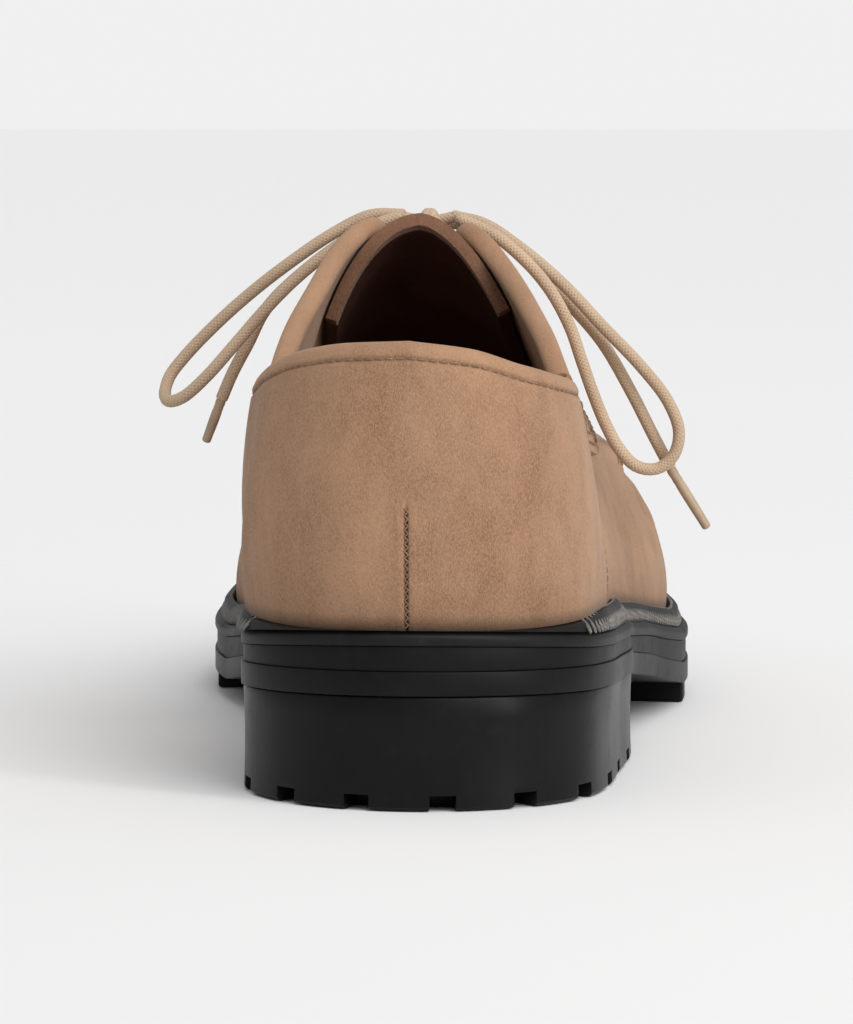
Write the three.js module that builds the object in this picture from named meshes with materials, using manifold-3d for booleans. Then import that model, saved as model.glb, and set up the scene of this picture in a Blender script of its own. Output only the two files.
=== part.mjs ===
// Split toe derby, right shoe, standing on its sole.
// Millimetres, +Z up, toe towards +Y, the outer (lateral) side towards +X.
// The origin is on the floor, under the middle of the shoe's length and width.

import * as THREE from 'three';
import { mergeVertices } from 'three/addons/utils/BufferGeometryUtils.js';
import Module from 'manifold-3d';

const wasm = await Module();
wasm.setup();
const { Manifold } = wasm;

// Driving sizes of the sole
const soleLength = 302;
const ballWidth = 112.4;
const heelWidth = 74.6;
const heelTurn = THREE.MathUtils.degToRad(4.2);
const heelLength = 82;
const heelHeight = 22.4;
const heelStep = 0.5;
const outsoleThickness = 4.5;
const midsoleThickness = 4.4;
const midsoleStep = 0.5;
const weltThickness = 3;
const weltRibWidth = 3;
const weltRibHeight = 4.2;
const lugHeight = 5;
const lugLength = 12;
const lugGap = 7;
const lugDepth = 15;
const lugStep = 0.7;
const lugStartLateral = 0.575;
const lugStartMedial = 0.64;
const toeSpring = 15;
const springStart = 0.665;
const springCurve = 1.7;
const notchWidth = 5.2;
const notchHeight = 3;
const notchDepth = 7;
const notchPitch = 17.5;
const seatClearance = 0.3;
const footTrim = 0.8;

// Driving sizes of the upper
const insoleThickness = 2.6;
const wallThickness = 2.2;
const panelThickness = 1.4;
const facingThickness = 1.8;
const facingLift = 1.3;
const instepHeight = 114;
const seamRise = 1.3;
const seamHalfShare = 0.022;
const seamOverlap = 1;
const toeSeamAngle = THREE.MathUtils.degToRad(2);
const tongueThickness = 2.6;
const tongueGap = 0.6;
const laceDiameter = 2.7;
const agletDiameter = 2;

// Heights that follow from them
const heelTop = heelHeight + seatClearance;
const seatHeight = heelTop + outsoleThickness + midsoleThickness + 2 * seatClearance;
const crownRise = instepHeight - seatHeight;
const halfBall = ballWidth / 2;
const heelRadius = heelWidth / 2;

const mix = THREE.MathUtils.lerp;
const smooth = THREE.MathUtils.smoothstep;

// A smooth line through one column of a table, without overshoot. `at` names the column of places.
function through(rows, at, column) {
  const x = rows.map((row) => row[at]);
  const y = rows.map((row) => row[column]);
  const slope = x.slice(1).map((next, i) => (y[i + 1] - y[i]) / (next - x[i]));
  const tangent = x.map((_, i) => {
    if (i === 0) return slope[0];
    if (i === x.length - 1) return slope[i - 1];
    if (slope[i - 1] * slope[i] <= 0) return 0;
    return 2 * slope[i - 1] * slope[i] / (slope[i - 1] + slope[i]);
  });
  return (place) => {
    const p = THREE.MathUtils.clamp(place, x[0], x[x.length - 1]);
    let i = 0;
    while (i < x.length - 2 && p > x[i + 1]) i += 1;
    const width = x[i + 1] - x[i];
    const t = (p - x[i]) / width;
    return y[i] * (1 + 2 * t) * (1 - t) ** 2 + tangent[i] * width * t * (1 - t) ** 2
      + y[i + 1] * t * t * (3 - 2 * t) + tangent[i + 1] * width * t * t * (t - 1);
  };
}

// The sole's outline, seen from above. The heel is an arc with straight walls, turned by heelTurn.
// The forepart's points are shares of the sole's length, from the heel's back, and of half the ball width.
const foreOutline = [
  { along: 0.350, across: 0.806 },
  { along: 0.447, across: 0.876 },
  { along: 0.530, across: 0.962 },
  { along: 0.603, across: 1.000 },
  { along: 0.689, across: 0.962 },
  { along: 0.778, across: 0.845 },
  { along: 0.861, across: 0.652 },
  { along: 0.930, across: 0.402 },
  { along: 0.980, across: 0.132 },
  { along: 1.000, across: -0.117 },
  { along: 0.987, across: -0.384 },
  { along: 0.944, across: -0.633 },
  { along: 0.868, across: -0.838 },
  { along: 0.785, across: -0.961 },
  { along: 0.702, across: -1.000 },
  { along: 0.622, across: -0.961 },
  { along: 0.530, across: -0.830 },
  { along: 0.437, across: -0.675 },
  { along: 0.351, across: -0.570 },
];
const heelBack = new THREE.Vector2(0.06 * halfBall, -soleLength / 2);
const heelAxis = new THREE.Vector2(Math.sin(heelTurn), Math.cos(heelTurn));
const heelAcross = new THREE.Vector2(heelAxis.y, -heelAxis.x);
const heelCentre = heelBack.clone().addScaledVector(heelAxis, heelRadius);
const heelWall = heelLength - heelRadius;

function heelPoint(across, forward) {
  return heelCentre.clone().addScaledVector(heelAcross, across).addScaledVector(heelAxis, forward);
}

function soleOutline() {
  const points = [heelPoint(heelRadius, 0.55 * heelWall), heelPoint(heelRadius, 0.98 * heelWall)];
  for (const row of foreOutline) {
    points.push(new THREE.Vector2(row.across * halfBall, (row.along - 0.5) * soleLength));
  }
  points.push(heelPoint(-heelRadius, 0.98 * heelWall), heelPoint(-heelRadius, 0.55 * heelWall));
  const arcSteps = 8;
  for (let i = 0; i <= arcSteps; i += 1) {
    const angle = mix(-Math.PI / 2, Math.PI / 2, i / arcSteps);
    points.push(heelPoint(heelRadius * Math.sin(angle), -heelRadius * Math.cos(angle)));
  }
  const curve = new THREE.CatmullRomCurve3(points.map((p) => new THREE.Vector3(p.x, p.y, 0)), true);
  return curve.getSpacedPoints(400).slice(0, 400).map((p) => new THREE.Vector2(p.x, p.y));
}

// An outline moved inwards, by a distance that depends on the place. The outline runs anticlockwise.
function inset(outline, distance) {
  return outline.map((point, i) => {
    const before = outline[(i + outline.length - 1) % outline.length];
    const after = outline[(i + 1) % outline.length];
    const way = after.clone().sub(before).normalize();
    const inward = new THREE.Vector2(-way.y, way.x);
    return point.clone().addScaledVector(inward, distance(point));
  });
}

const rim = soleOutline();
const rimTip = Math.max(...rim.map((p) => p.y));

// The shoe's centre line, seen from above
const shareAlong = (y) => y / soleLength + 0.5;
const spineRows = [
  { along: 0.12, across: 0.045 },
  { along: 0.24, across: 0.022 },
  { along: 0.35, across: 0.000 },
  { along: 0.47, across: -0.010 },
  { along: 0.58, across: -0.020 },
  { along: 0.70, across: -0.032 },
  { along: 0.81, across: -0.050 },
];
function spineX(y) {
  return through(spineRows, 'along', 'across')(shareAlong(y)) * ballWidth;
}

// How far the upper's foot stands in from the rim: little at the heel and waist, more round the forepart.
const weltShow = [
  { along: 0.00, lateral: 4.4, medial: 4.4 },
  { along: 0.30, lateral: 4.6, medial: 3.4 },
  { along: 0.45, lateral: 5.2, medial: 3.8 },
  { along: 0.62, lateral: 6.6, medial: 6.2 },
  { along: 1.00, lateral: 7.2, medial: 7.2 },
];
const weltLateral = through(weltShow, 'along', 'lateral');
const weltMedial = through(weltShow, 'along', 'medial');
const foot = inset(rim, (p) => {
  const share = shareAlong(p.y);
  return p.x > spineX(p.y) ? weltLateral(share) : weltMedial(share);
});

// Distance from a point to an outline, along a direction
function reach(outline, from, way) {
  let best = 0;
  outline.forEach((a, i) => {
    const b = outline[(i + 1) % outline.length];
    const edge = b.clone().sub(a);
    const det = way.cross(edge);
    if (Math.abs(det) < 1e-9) return;
    const offset = a.clone().sub(from);
    const distance = offset.cross(edge) / det;
    const share = offset.cross(way) / det;
    if (share >= 0 && share <= 1 && distance > best) best = distance;
  });
  return best;
}

// How the sole falls from the heel's back to the ball. height: the outsole's underside, as a share of
// the heel's top over the lugs. midsole: a share of its thickness.
const fallRows = [
  { along: 0.00, height: 1.00, midsole: 1.00 },
  { along: 0.10, height: 0.92, midsole: 0.64 },
  { along: 0.20, height: 0.82, midsole: 0.56 },
  { along: 0.28, height: 0.75, midsole: 0.56 },
  { along: 0.37, height: 0.52, midsole: 0.66 },
  { along: 0.44, height: 0.36, midsole: 0.80 },
  { along: 0.51, height: 0.15, midsole: 0.92 },
  { along: 0.57, height: 0.00, midsole: 1.00 },
];
const fallHeight = through(fallRows, 'along', 'height');
const fallMidsole = through(fallRows, 'along', 'midsole');

// Underside of the outsole's body: high over the heel, down through the waist, flat at the ball, up at the toe
function bodyBottom(y) {
  const share = shareAlong(y);
  const spring = Math.max(0, (share - springStart) / (1 - springStart));
  return mix(lugHeight, heelTop, fallHeight(share)) + toeSpring * spring ** springCurve;
}
const midsoleBottom = (y) => bodyBottom(y) + outsoleThickness + seatClearance;
const midsoleTop = (y) => midsoleBottom(y) + midsoleThickness * fallMidsole(shareAlong(y));
const footHeight = (y) => midsoleTop(y) + seatClearance;
const weltTop = (y) => footHeight(y) + weltThickness;

// The last. Each half section lies in an upright plane from the spine outwards: a fan round the heel's
// pivot, level steps along the middle, and a fan round the toe's pivot. `around` runs from 0 at the
// heel's back to 1 at the toe's tip. Sideways lengths are shares of the ball width.
const heelFan = 0.2;
const toeFan = 0.8;
const heelPivotY = -soleLength / 2 + heelRadius;
const toePivotY = soleLength / 2 - 0.19 * soleLength;

// crown: height of the centre line over the seat, as a share of the instep's rise.
const crownRows = [
  { along: 0.12, rise: 1.14 },
  { along: 0.24, rise: 1.105 },
  { along: 0.35, rise: 1.00 },
  { along: 0.467, rise: 0.755 },
  { along: 0.583, rise: 0.545 },
  { along: 0.695, rise: 0.385 },
  { along: 0.81, rise: 0.275 },
];
const crownShare = through(crownRows, 'along', 'rise');
const crownHeight = (y) => seatHeight + crownShare(shareAlong(y)) * crownRise;

// One row for each section. out: how far the lower handle leans beyond the foot. low: its height.
// in: the upper handle's place, as a share of the foot's reach. high: its height.
const lateralRows = [
  { around: 0.00, out: 0.064, low: 0.42, in: 0.84, high: 0.96 },
  { around: 0.10, out: 0.050, low: 0.42, in: 0.80, high: 0.95 },
  { around: 0.20, out: 0.020, low: 0.40, in: 0.70, high: 0.94 },
  { around: 0.27, out: 0.000, low: 0.39, in: 0.55, high: 0.96 },
  { around: 0.33, out: -0.030, low: 0.41, in: 0.46, high: 0.97 },
  { around: 0.40, out: -0.035, low: 0.43, in: 0.50, high: 0.99 },
  { around: 0.50, out: 0.008, low: 0.38, in: 0.56, high: 0.99 },
  { around: 0.56, out: 0.058, low: 0.42, in: 0.60, high: 1.00 },
  { around: 0.60, out: 0.082, low: 0.46, in: 0.60, high: 1.00 },
  { around: 0.70, out: 0.068, low: 0.50, in: 0.62, high: 1.00 },
  { around: 0.80, out: 0.036, low: 0.54, in: 0.62, high: 1.00 },
  { around: 0.90, out: 0.026, low: 0.62, in: 0.62, high: 0.98 },
  { around: 1.00, out: 0.020, low: 0.64, in: 0.60, high: 0.95 },
];
const medialRows = [
  { around: 0.00, out: 0.064, low: 0.42, in: 0.84, high: 0.96 },
  { around: 0.10, out: 0.060, low: 0.40, in: 0.83, high: 0.95 },
  { around: 0.235, out: 0.077, low: 0.35, in: 0.84, high: 0.94 },
  { around: 0.30, out: 0.082, low: 0.33, in: 0.96, high: 0.95 },
  { around: 0.35, out: 0.066, low: 0.34, in: 0.98, high: 0.97 },
  { around: 0.40, out: 0.060, low: 0.34, in: 0.92, high: 0.99 },
  { around: 0.50, out: 0.078, low: 0.36, in: 0.72, high: 0.99 },
  { around: 0.56, out: 0.080, low: 0.40, in: 0.66, high: 1.00 },
  { around: 0.60, out: 0.078, low: 0.44, in: 0.62, high: 1.00 },
  { around: 0.70, out: 0.058, low: 0.48, in: 0.60, high: 1.00 },
  { around: 0.80, out: 0.036, low: 0.54, in: 0.62, high: 1.00 },
  { around: 0.90, out: 0.026, low: 0.62, in: 0.62, high: 0.98 },
  { around: 1.00, out: 0.020, low: 0.64, in: 0.60, high: 0.95 },
];
// Where the upper's edge lies on either side, as a share of the way from the foot to the crown
const edgeRows = [
  { around: 0.000, lateral: 0.473, medial: 0.473 },
  { around: 0.050, lateral: 0.461, medial: 0.474 },
  { around: 0.100, lateral: 0.434, medial: 0.467 },
  { around: 0.150, lateral: 0.421, medial: 0.450 },
  { around: 0.200, lateral: 0.419, medial: 0.431 },
  { around: 0.235, lateral: 0.420, medial: 0.429 },
  { around: 0.270, lateral: 0.423, medial: 0.506 },
  { around: 0.300, lateral: 0.500, medial: 0.572 },
  { around: 0.330, lateral: 0.565, medial: 0.642 },
  { around: 0.367, lateral: 0.670, medial: 0.749 },
  { around: 0.400, lateral: 0.835, medial: 0.867 },
  { around: 0.500, lateral: 0.930, medial: 0.930 },
  { around: 0.560, lateral: 1.000, medial: 1.000 },
];
const handleColumns = ['out', 'low', 'in', 'high'];
const sideCurves = [[lateralRows, 'lateral'], [medialRows, 'medial']].map(([rows, edge]) => {
  const curves = { cut: through(edgeRows, 'around', edge) };
  for (const column of handleColumns) curves[column] = through(rows, 'around', column);
  return curves;
});

const sectionCache = new Map();
function section(side, around) {
  const key = `${side} ${around}`;
  if (!sectionCache.has(key)) {
    const toeShare = Math.max(0, (around - toeFan) / (1 - toeFan));
    const heelShare = Math.min(1, around / heelFan);
    const middle = THREE.MathUtils.clamp((around - heelFan) / (toeFan - heelFan), 0, 1);
    const y = mix(heelPivotY, toePivotY, middle);
    const angle = (heelShare - 1 + toeShare) * Math.PI / 2;
    const from = new THREE.Vector2(spineX(y), y);
    const way = new THREE.Vector2(side * Math.cos(angle), Math.sin(angle));
    const curves = sideCurves[side > 0 ? 0 : 1];
    const low = reach(foot, from, way);
    const footZ = footHeight(y + way.y * low);
    const crown = crownHeight(y);
    const rise = crown - footZ;
    sectionCache.set(key, {
      from, way, cut: curves.cut(around),
      handles: [
        [low, footZ],
        [low + curves.out(around) * ballWidth, footZ + curves.low(around) * rise],
        [low * curves.in(around), footZ + curves.high(around) * rise],
        [0, crown],
      ],
    });
  }
  return sectionCache.get(key);
}

// A point of the last's surface. `up` runs from 0 at the foot to 1 at the crown.
function lastPoint(side, around, up) {
  const { from, way, handles } = section(side, around);
  const weights = [(1 - up) ** 3, 3 * up * (1 - up) ** 2, 3 * up * up * (1 - up), up ** 3];
  const out = handles.reduce((sum, handle, i) => sum + handle[0] * weights[i], 0);
  const height = handles.reduce((sum, handle, i) => sum + handle[1] * weights[i], 0);
  return new THREE.Vector3(from.x + way.x * out, from.y + way.y * out, height);
}

// The same point with the direction that leads straight out of the last
function lastSurface(side, around, up) {
  const step = 1e-3;
  const point = lastPoint(side, around, up);
  const ahead = lastPoint(side, around + step, up).sub(point);
  const higher = up < 1 ? lastPoint(side, around, up + step).sub(point)
    : point.clone().sub(lastPoint(side, around, up - step));
  const normal = ahead.clone().cross(higher).multiplyScalar(side).normalize();
  return { point, normal };
}

// Places of the upper's columns and rows. The seams lie on lines of their own.
const apronShare = 0.5;
const toeSeamShare = (toeSeamAngle / (Math.PI / 2)) * (1 - toeFan);
function spread(from, to, steps) {
  return Array.from({ length: steps }, (_, i) => mix(from, to, (i + 1) / steps));
}
// The collar's low corners: the medial one lies further back
const medialCorner = 0.235;
const lateralCorner = 0.27;
const throatEnd = 0.56;
const throatStart = 0.40;
const aroundPlaces = [0, ...spread(0, heelFan, 6), medialCorner, lateralCorner,
  ...spread(lateralCorner, throatStart, 5), ...spread(throatStart, throatEnd, 5),
  ...spread(throatEnd, toeFan, 6), ...spread(toeFan, 1 - 2 * toeSeamShare, 5), 1 - toeSeamShare, 1];
const rowShares = [0, 0.12, 0.25, 0.38, apronShare - seamHalfShare, apronShare,
  apronShare + seamHalfShare, 0.62, 0.74, 0.87, 1];

// The grid of the last's surface: one ring of columns, from just below the foot up to the edge or crown
function lastGrid() {
  const ring = [];
  for (const around of aroundPlaces) ring.push({ side: 1, around });
  for (const around of aroundPlaces.slice(1, -1).reverse()) ring.push({ side: -1, around });
  const points = [];
  const found = new Map();
  const cells = ring.map(({ side, around }) => {
    const top = section(side, around).cut;
    return rowShares.map((share) => {
      const point = lastPoint(side, around, share * top);
      if (share === 0) point.z -= footTrim;
      const key = [point.x, point.y, point.z].map((v) => Math.round(v * 1e3)).join(' ');
      if (!found.has(key)) {
        found.set(key, points.length);
        points.push({ point, side, around, share, top, normal: new THREE.Vector3() });
      }
      return found.get(key);
    });
  });
  const faces = [];
  cells.forEach((cell, i) => {
    const next = cells[(i + 1) % cells.length];
    for (let j = 0; j < rowShares.length - 1; j += 1) {
      faces.push([cell[j], next[j], next[j + 1]], [cell[j], next[j + 1], cell[j + 1]]);
    }
  });
  const kept = faces.filter(([a, b, c]) => a !== b && b !== c && a !== c);
  const triangle = new THREE.Triangle();
  const normal = new THREE.Vector3();
  for (const [a, b, c] of kept) {
    triangle.set(points[a].point, points[b].point, points[c].point);
    triangle.getNormal(normal).multiplyScalar(triangle.getArea());
    for (const index of [a, b, c]) points[index].normal.add(normal);
  }
  for (const cell of cells) points[cell[0]].normal.z = 0;
  for (const entry of points) entry.normal.normalize();
  const open = ring.map(({ side, around }) => section(side, around).cut < 0.9999);
  return { ring, points, cells, faces: kept, open };
}

function solidFrom(positions, triangles) {
  return new Manifold(new wasm.Mesh({
    numProp: 3,
    vertProperties: new Float32Array(positions.flatMap((p) => [p.x, p.y, p.z])),
    triVerts: new Uint32Array(triangles.flat()),
  }));
}

// A solid wall between two offsets of the grid, each a function of the grid's point
function shell(grid, innerOffset, outerOffset) {
  const count = grid.points.length;
  const place = (entry, offset) => entry.point.clone().addScaledVector(entry.normal, offset(entry));
  const positions = [
    ...grid.points.map((entry) => place(entry, outerOffset)),
    ...grid.points.map((entry) => place(entry, innerOffset)),
  ];
  const triangles = [];
  for (const [a, b, c] of grid.faces) {
    triangles.push([a, b, c], [count + a, count + c, count + b]);
  }
  const last = rowShares.length - 1;
  grid.cells.forEach((cell, i) => {
    const k = (i + 1) % grid.cells.length;
    const next = grid.cells[k];
    triangles.push([cell[0], count + cell[0], count + next[0]], [cell[0], count + next[0], next[0]]);
    if (grid.open[i] || grid.open[k]) {
      const [a, b] = [cell[last], next[last]];
      triangles.push([a, b, count + b], [a, count + b, count + a]);
    }
  });
  return solidFrom(positions, triangles);
}

// The last as one filled body, moved outwards by an offset, with its foot let down by `drop`
function filledLast(grid, offset, drop) {
  const positions = grid.points.map((entry) => entry.point.clone().addScaledVector(entry.normal, offset(entry)));
  const triangles = grid.faces.map((face) => [...face]);
  const count = positions.length;
  for (const cell of grid.cells) {
    const low = positions[cell[0]].clone();
    low.z -= drop;
    positions.push(low);
  }
  const size = grid.cells.length;
  const last = rowShares.length - 1;
  const top = grid.cells.map((cell) => cell[last]);
  for (let i = 0; i < size; i += 1) {
    const k = (i + 1) % size;
    const [a, b] = [grid.cells[i][0], grid.cells[k][0]];
    triangles.push([count + i, count + k, b], [count + i, b, a]);
  }
  for (let i = 0; i < size / 2; i += 1) {
    const [a, b] = [i, i + 1];
    const [c, d] = [(size - i) % size, size - i - 1];
    triangles.push([count + a, count + c, count + b], [count + c, count + d, count + b]);
    triangles.push([top[a], top[b], top[c]], [top[b], top[d], top[c]]);
  }
  return solidFrom(positions, triangles.filter(([a, b, c]) => a !== b && b !== c && a !== c));
}

// Steps along the sole, the same in every layer, and closer together at both ends
const ladderSteps = 44;
const ladder = Array.from({ length: ladderSteps + 1 }, (_, i) => {
  const even = i / ladderSteps;
  const eased = (1 - Math.cos(Math.PI * even)) / 2;
  return soleLength * (mix(even, eased, 0.75) - 0.5);
});

// A layer of the sole: straight across at each step, between two heights that change only along it
function layer(outline, bottom, top) {
  const edge = 0.02;
  const back = Math.min(...outline.map((p) => p.y)) + edge;
  const front = Math.max(...outline.map((p) => p.y)) - edge;
  const steps = [back, ...ladder.filter((y) => y > back + edge && y < front - edge), front];
  const positions = [];
  for (const y of steps) {
    const centre = new THREE.Vector2(widthMiddle(outline, y), y);
    const right = centre.x + reach(outline, centre, new THREE.Vector2(1, 0));
    const left = centre.x - reach(outline, centre, new THREE.Vector2(-1, 0));
    positions.push(new THREE.Vector3(left, y, bottom(y)), new THREE.Vector3(right, y, bottom(y)));
    positions.push(new THREE.Vector3(right, y, top(y)), new THREE.Vector3(left, y, top(y)));
  }
  const triangles = [];
  for (let i = 0; i < steps.length - 1; i += 1) {
    for (let j = 0; j < 4; j += 1) {
      const [a, b] = [4 * i + j, 4 * i + (j + 1) % 4];
      triangles.push([a, b + 4, b], [a, a + 4, b + 4]);
    }
  }
  const end = 4 * (steps.length - 1);
  triangles.push([0, 1, 2], [0, 2, 3], [end, end + 2, end + 1], [end, end + 3, end + 2]);
  return solidFrom(positions, triangles);
}

function widthMiddle(outline, y) {
  const crossings = [];
  outline.forEach((a, i) => {
    const b = outline[(i + 1) % outline.length];
    if ((a.y - y) * (b.y - y) > 0 || a.y === b.y) return;
    crossings.push(mix(a.x, b.x, (y - a.y) / (b.y - a.y)));
  });
  return (Math.min(...crossings) + Math.max(...crossings)) / 2;
}

// A prism through the shoe, drawn in its side view with x as the shoe's y and y as its z
function sidePrism(corners, fromX, toX) {
  const shape = new THREE.Shape(corners.map(([y, z]) => new THREE.Vector2(y, z)));
  const geometry = new THREE.ExtrudeGeometry(shape, { depth: toX - fromX, bevelEnabled: false });
  geometry.applyMatrix4(new THREE.Matrix4().set(0, 0, 1, fromX, 1, 0, 0, 0, 0, 1, 0, 0, 0, 0, 0, 1));
  return toSolid(geometry);
}

function toSolid(geometry) {
  const plain = geometry.index ? geometry.clone() : mergeVertices(geometry.clone());
  plain.deleteAttribute('normal');
  plain.deleteAttribute('uv');
  const merged = mergeVertices(plain, 1e-5);
  return new Manifold(new wasm.Mesh({
    numProp: 3,
    vertProperties: new Float32Array(merged.attributes.position.array),
    triVerts: new Uint32Array(merged.index.array),
  }));
}

function toGeometry(solid) {
  const mesh = solid.getMesh();
  const geometry = new THREE.BufferGeometry();
  geometry.setAttribute('position', new THREE.BufferAttribute(mesh.vertProperties, 3));
  geometry.setIndex(new THREE.BufferAttribute(mesh.triVerts, 1));
  geometry.computeVertexNormals();
  return geometry;
}

const materials = {
  rubber: new THREE.MeshStandardMaterial({ color: 0x1c1c1d, roughness: 0.42, metalness: 0 }),
  suede: new THREE.MeshStandardMaterial({ color: 0xa58467, roughness: 0.95, metalness: 0 }),
  lining: new THREE.MeshStandardMaterial({ color: 0x5c3a2c, roughness: 0.7, metalness: 0 }),
  insole: new THREE.MeshStandardMaterial({ color: 0x8a5d3f, roughness: 0.7, metalness: 0 }),
  lace: new THREE.MeshStandardMaterial({ color: 0xb79c80, roughness: 0.85, metalness: 0 }),
  aglet: new THREE.MeshStandardMaterial({ color: 0xb08a68, roughness: 0.4, metalness: 0 }),
};

const shoe = new THREE.Group();
function add(name, geometry, material) {
  const mesh = new THREE.Mesh(geometry, material);
  mesh.name = name;
  shoe.add(mesh);
}

const grid = lastGrid();

// Upper: a hollow wall, with the apron's seam round the forepart and the split toe's seam at its tip
function seamStep({ around, share }) {
  const apron = Math.abs(share - apronShare) < 1e-6 ? smooth(around, 0.50, 0.58) : 0;
  const toe = around > 0.999 && share <= apronShare ? 1 : 0;
  return seamRise * Math.max(apron, toe);
}
function makeUpper() {
  const wall = shell(grid, () => -wallThickness, seamStep);
  return wall.subtract(soleBand(footHeight));
}

// The space of the sole up to a height, wider than the shoe
const bandWidth = 12;
function soleBand(top) {
  return layer(inset(rim, () => -bandWidth), (y) => footHeight(y) - bandWidth, top);
}

// Heel panel: one piece from side seam to side seam, over the upper
const alongY = (share) => (share - 0.5) * soleLength;
const aboveSeat = (share) => seatHeight + share * crownRise;
const lateralSeam = [
  { along: 0.200, rise: 0.60 },
  { along: 0.190, rise: 0.53 },
  { along: 0.188, rise: 0.40 },
  { along: 0.194, rise: 0.28 },
  { along: 0.192, rise: 0.18 },
  { along: 0.172, rise: 0.06 },
  { along: 0.150, rise: -0.10 },
];
const medialSeam = [
  { along: 0.156, rise: 0.60 },
  { along: 0.172, rise: 0.53 },
  { along: 0.205, rise: 0.40 },
  { along: 0.240, rise: 0.28 },
  { along: 0.272, rise: 0.18 },
  { along: 0.305, rise: 0.06 },
  { along: 0.322, rise: -0.10 },
];
// The space behind the side seams, moved forwards by a margin
function behindSeams(margin) {
  const behind = -soleLength / 2 - bandWidth;
  const above = instepHeight + bandWidth;
  const halves = [[lateralSeam, -seamOverlap, ballWidth], [medialSeam, -ballWidth, seamOverlap]];
  return Manifold.union(halves.map(([rows, fromX, toX]) => {
    const seam = rows.map((row) => [alongY(row.along) + margin, aboveSeat(row.rise)]);
    const [top, foot] = [seam[0], seam[seam.length - 1]];
    return sidePrism([[behind, foot[1]], ...seam.reverse(), [top[0], above], [behind, above]], fromX, toX);
  }));
}
function makeHeelPanel() {
  const wall = shell(grid, () => seatClearance, () => seatClearance + panelThickness);
  return wall.intersect(behindSeams(0)).subtract(soleBand((y) => ribTop(y) + seatClearance));
}

// Facing: an open flap over the quarter, with a rounded lower corner that stands off the vamp
const facingEdge = [
  { along: 0.200, medial: 0.150, rise: 0.62 },
  { along: 0.216, medial: 0.170, rise: 0.565 },
  { along: 0.270, medial: 0.240, rise: 0.485 },
  { along: 0.335, medial: 0.320, rise: 0.395 },
  { along: 0.380, medial: 0.375, rise: 0.350 },
  { along: 0.402, medial: 0.400, rise: 0.338 },
  { along: 0.424, medial: 0.424, rise: 0.350 },
  { along: 0.445, medial: 0.445, rise: 0.390 },
  { along: 0.480, medial: 0.480, rise: 0.460 },
  { along: 0.520, medial: 0.520, rise: 0.600 },
  { along: 0.550, medial: 0.550, rise: 0.720 },
];
const facingCorner = { along: 0.405, rise: 0.33 };
const facingLiftReach = 0.09 * soleLength;
function flapLift({ point }) {
  const corner = new THREE.Vector2(alongY(facingCorner.along), aboveSeat(facingCorner.rise));
  const distance = corner.distanceTo(new THREE.Vector2(point.y, point.z));
  return facingLift * (1 - smooth(distance, 0, facingLiftReach));
}
function makeFacing(side) {
  const low = (entry) => seatClearance + flapLift(entry);
  const wall = shell(grid, low, (entry) => low(entry) + facingThickness);
  const edge = facingEdge.map((row) => [alongY(side > 0 ? row.along : row.medial), aboveSeat(row.rise)]);
  const above = instepHeight + bandWidth;
  const corners = [...edge, [edge[edge.length - 1][0], above], [edge[0][0], above]];
  const middle = spineX(alongY(0.45));
  const prism = side > 0 ? sidePrism(corners, middle, ballWidth) : sidePrism(corners, -ballWidth, middle);
  return wall.intersect(prism).subtract(behindSeams(2 * seatClearance));
}

// Tongue: arched under the facings, on the same surface
const tongueFrom = 0.378;
const tongueTo = 0.60;
const tongueSide = 0.60;
function makeTongue() {
  const lengthSteps = 9;
  const halfSteps = 5;
  const depth = wallThickness + tongueGap;
  const rows = Array.from({ length: lengthSteps + 1 }, (_, i) => {
    const around = mix(tongueFrom, tongueTo, i / lengthSteps);
    const cross = [];
    for (let j = 0; j <= 2 * halfSteps; j += 1) {
      const side = j <= halfSteps ? 1 : -1;
      const share = Math.abs(j - halfSteps) / halfSteps;
      cross.push(lastSurface(side, around, mix(1, tongueSide, share)));
    }
    return cross;
  });
  const width = 2 * halfSteps + 1;
  const positions = [];
  for (const offset of [-depth, -depth - tongueThickness]) {
    for (const cross of rows) {
      cross.forEach(({ point, normal }) => positions.push(point.clone().addScaledVector(normal, offset)));
    }
  }
  const count = rows.length * width;
  const triangles = [];
  const quad = (a, b, c, d) => triangles.push([a, b, c], [a, c, d]);
  for (let i = 0; i < rows.length - 1; i += 1) {
    for (let j = 0; j < width - 1; j += 1) {
      const [a, b, c, d] = [i * width + j, (i + 1) * width + j, (i + 1) * width + j + 1, i * width + j + 1];
      quad(a, b, c, d);
      quad(count + a, count + d, count + c, count + b);
    }
    const [left, right] = [i * width, i * width + width - 1];
    quad(left, count + left, count + left + width, left + width);
    quad(right, right + width, count + right + width, count + right);
  }
  for (let j = 0; j < width - 1; j += 1) {
    const end = (rows.length - 1) * width + j;
    quad(j, j + 1, count + j + 1, count + j);
    quad(end, count + end, count + end + 1, end + 1);
  }
  const clear = shell(grid, () => -wallThickness - seatClearance, () => tongueThickness);
  return solidFrom(positions, triangles).subtract(clear);
}

// Sole pieces
const midsoleRim = inset(rim, () => midsoleStep);

function lugPrism(corners, sink) {
  const positions = [];
  for (const p of corners) positions.push(new THREE.Vector3(p.x, p.y, bodyBottom(p.y) - lugHeight));
  for (const p of corners) positions.push(new THREE.Vector3(p.x, p.y, bodyBottom(p.y) + sink));
  const n = corners.length;
  const triangles = [];
  for (let i = 1; i < n - 1; i += 1) triangles.push([0, i, i + 1], [n, n + i + 1, n + i]);
  for (let i = 0; i < n; i += 1) {
    const k = (i + 1) % n;
    triangles.push([i, n + k, k], [i, n + i, n + k]);
  }
  return solidFrom(positions, triangles);
}

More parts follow.
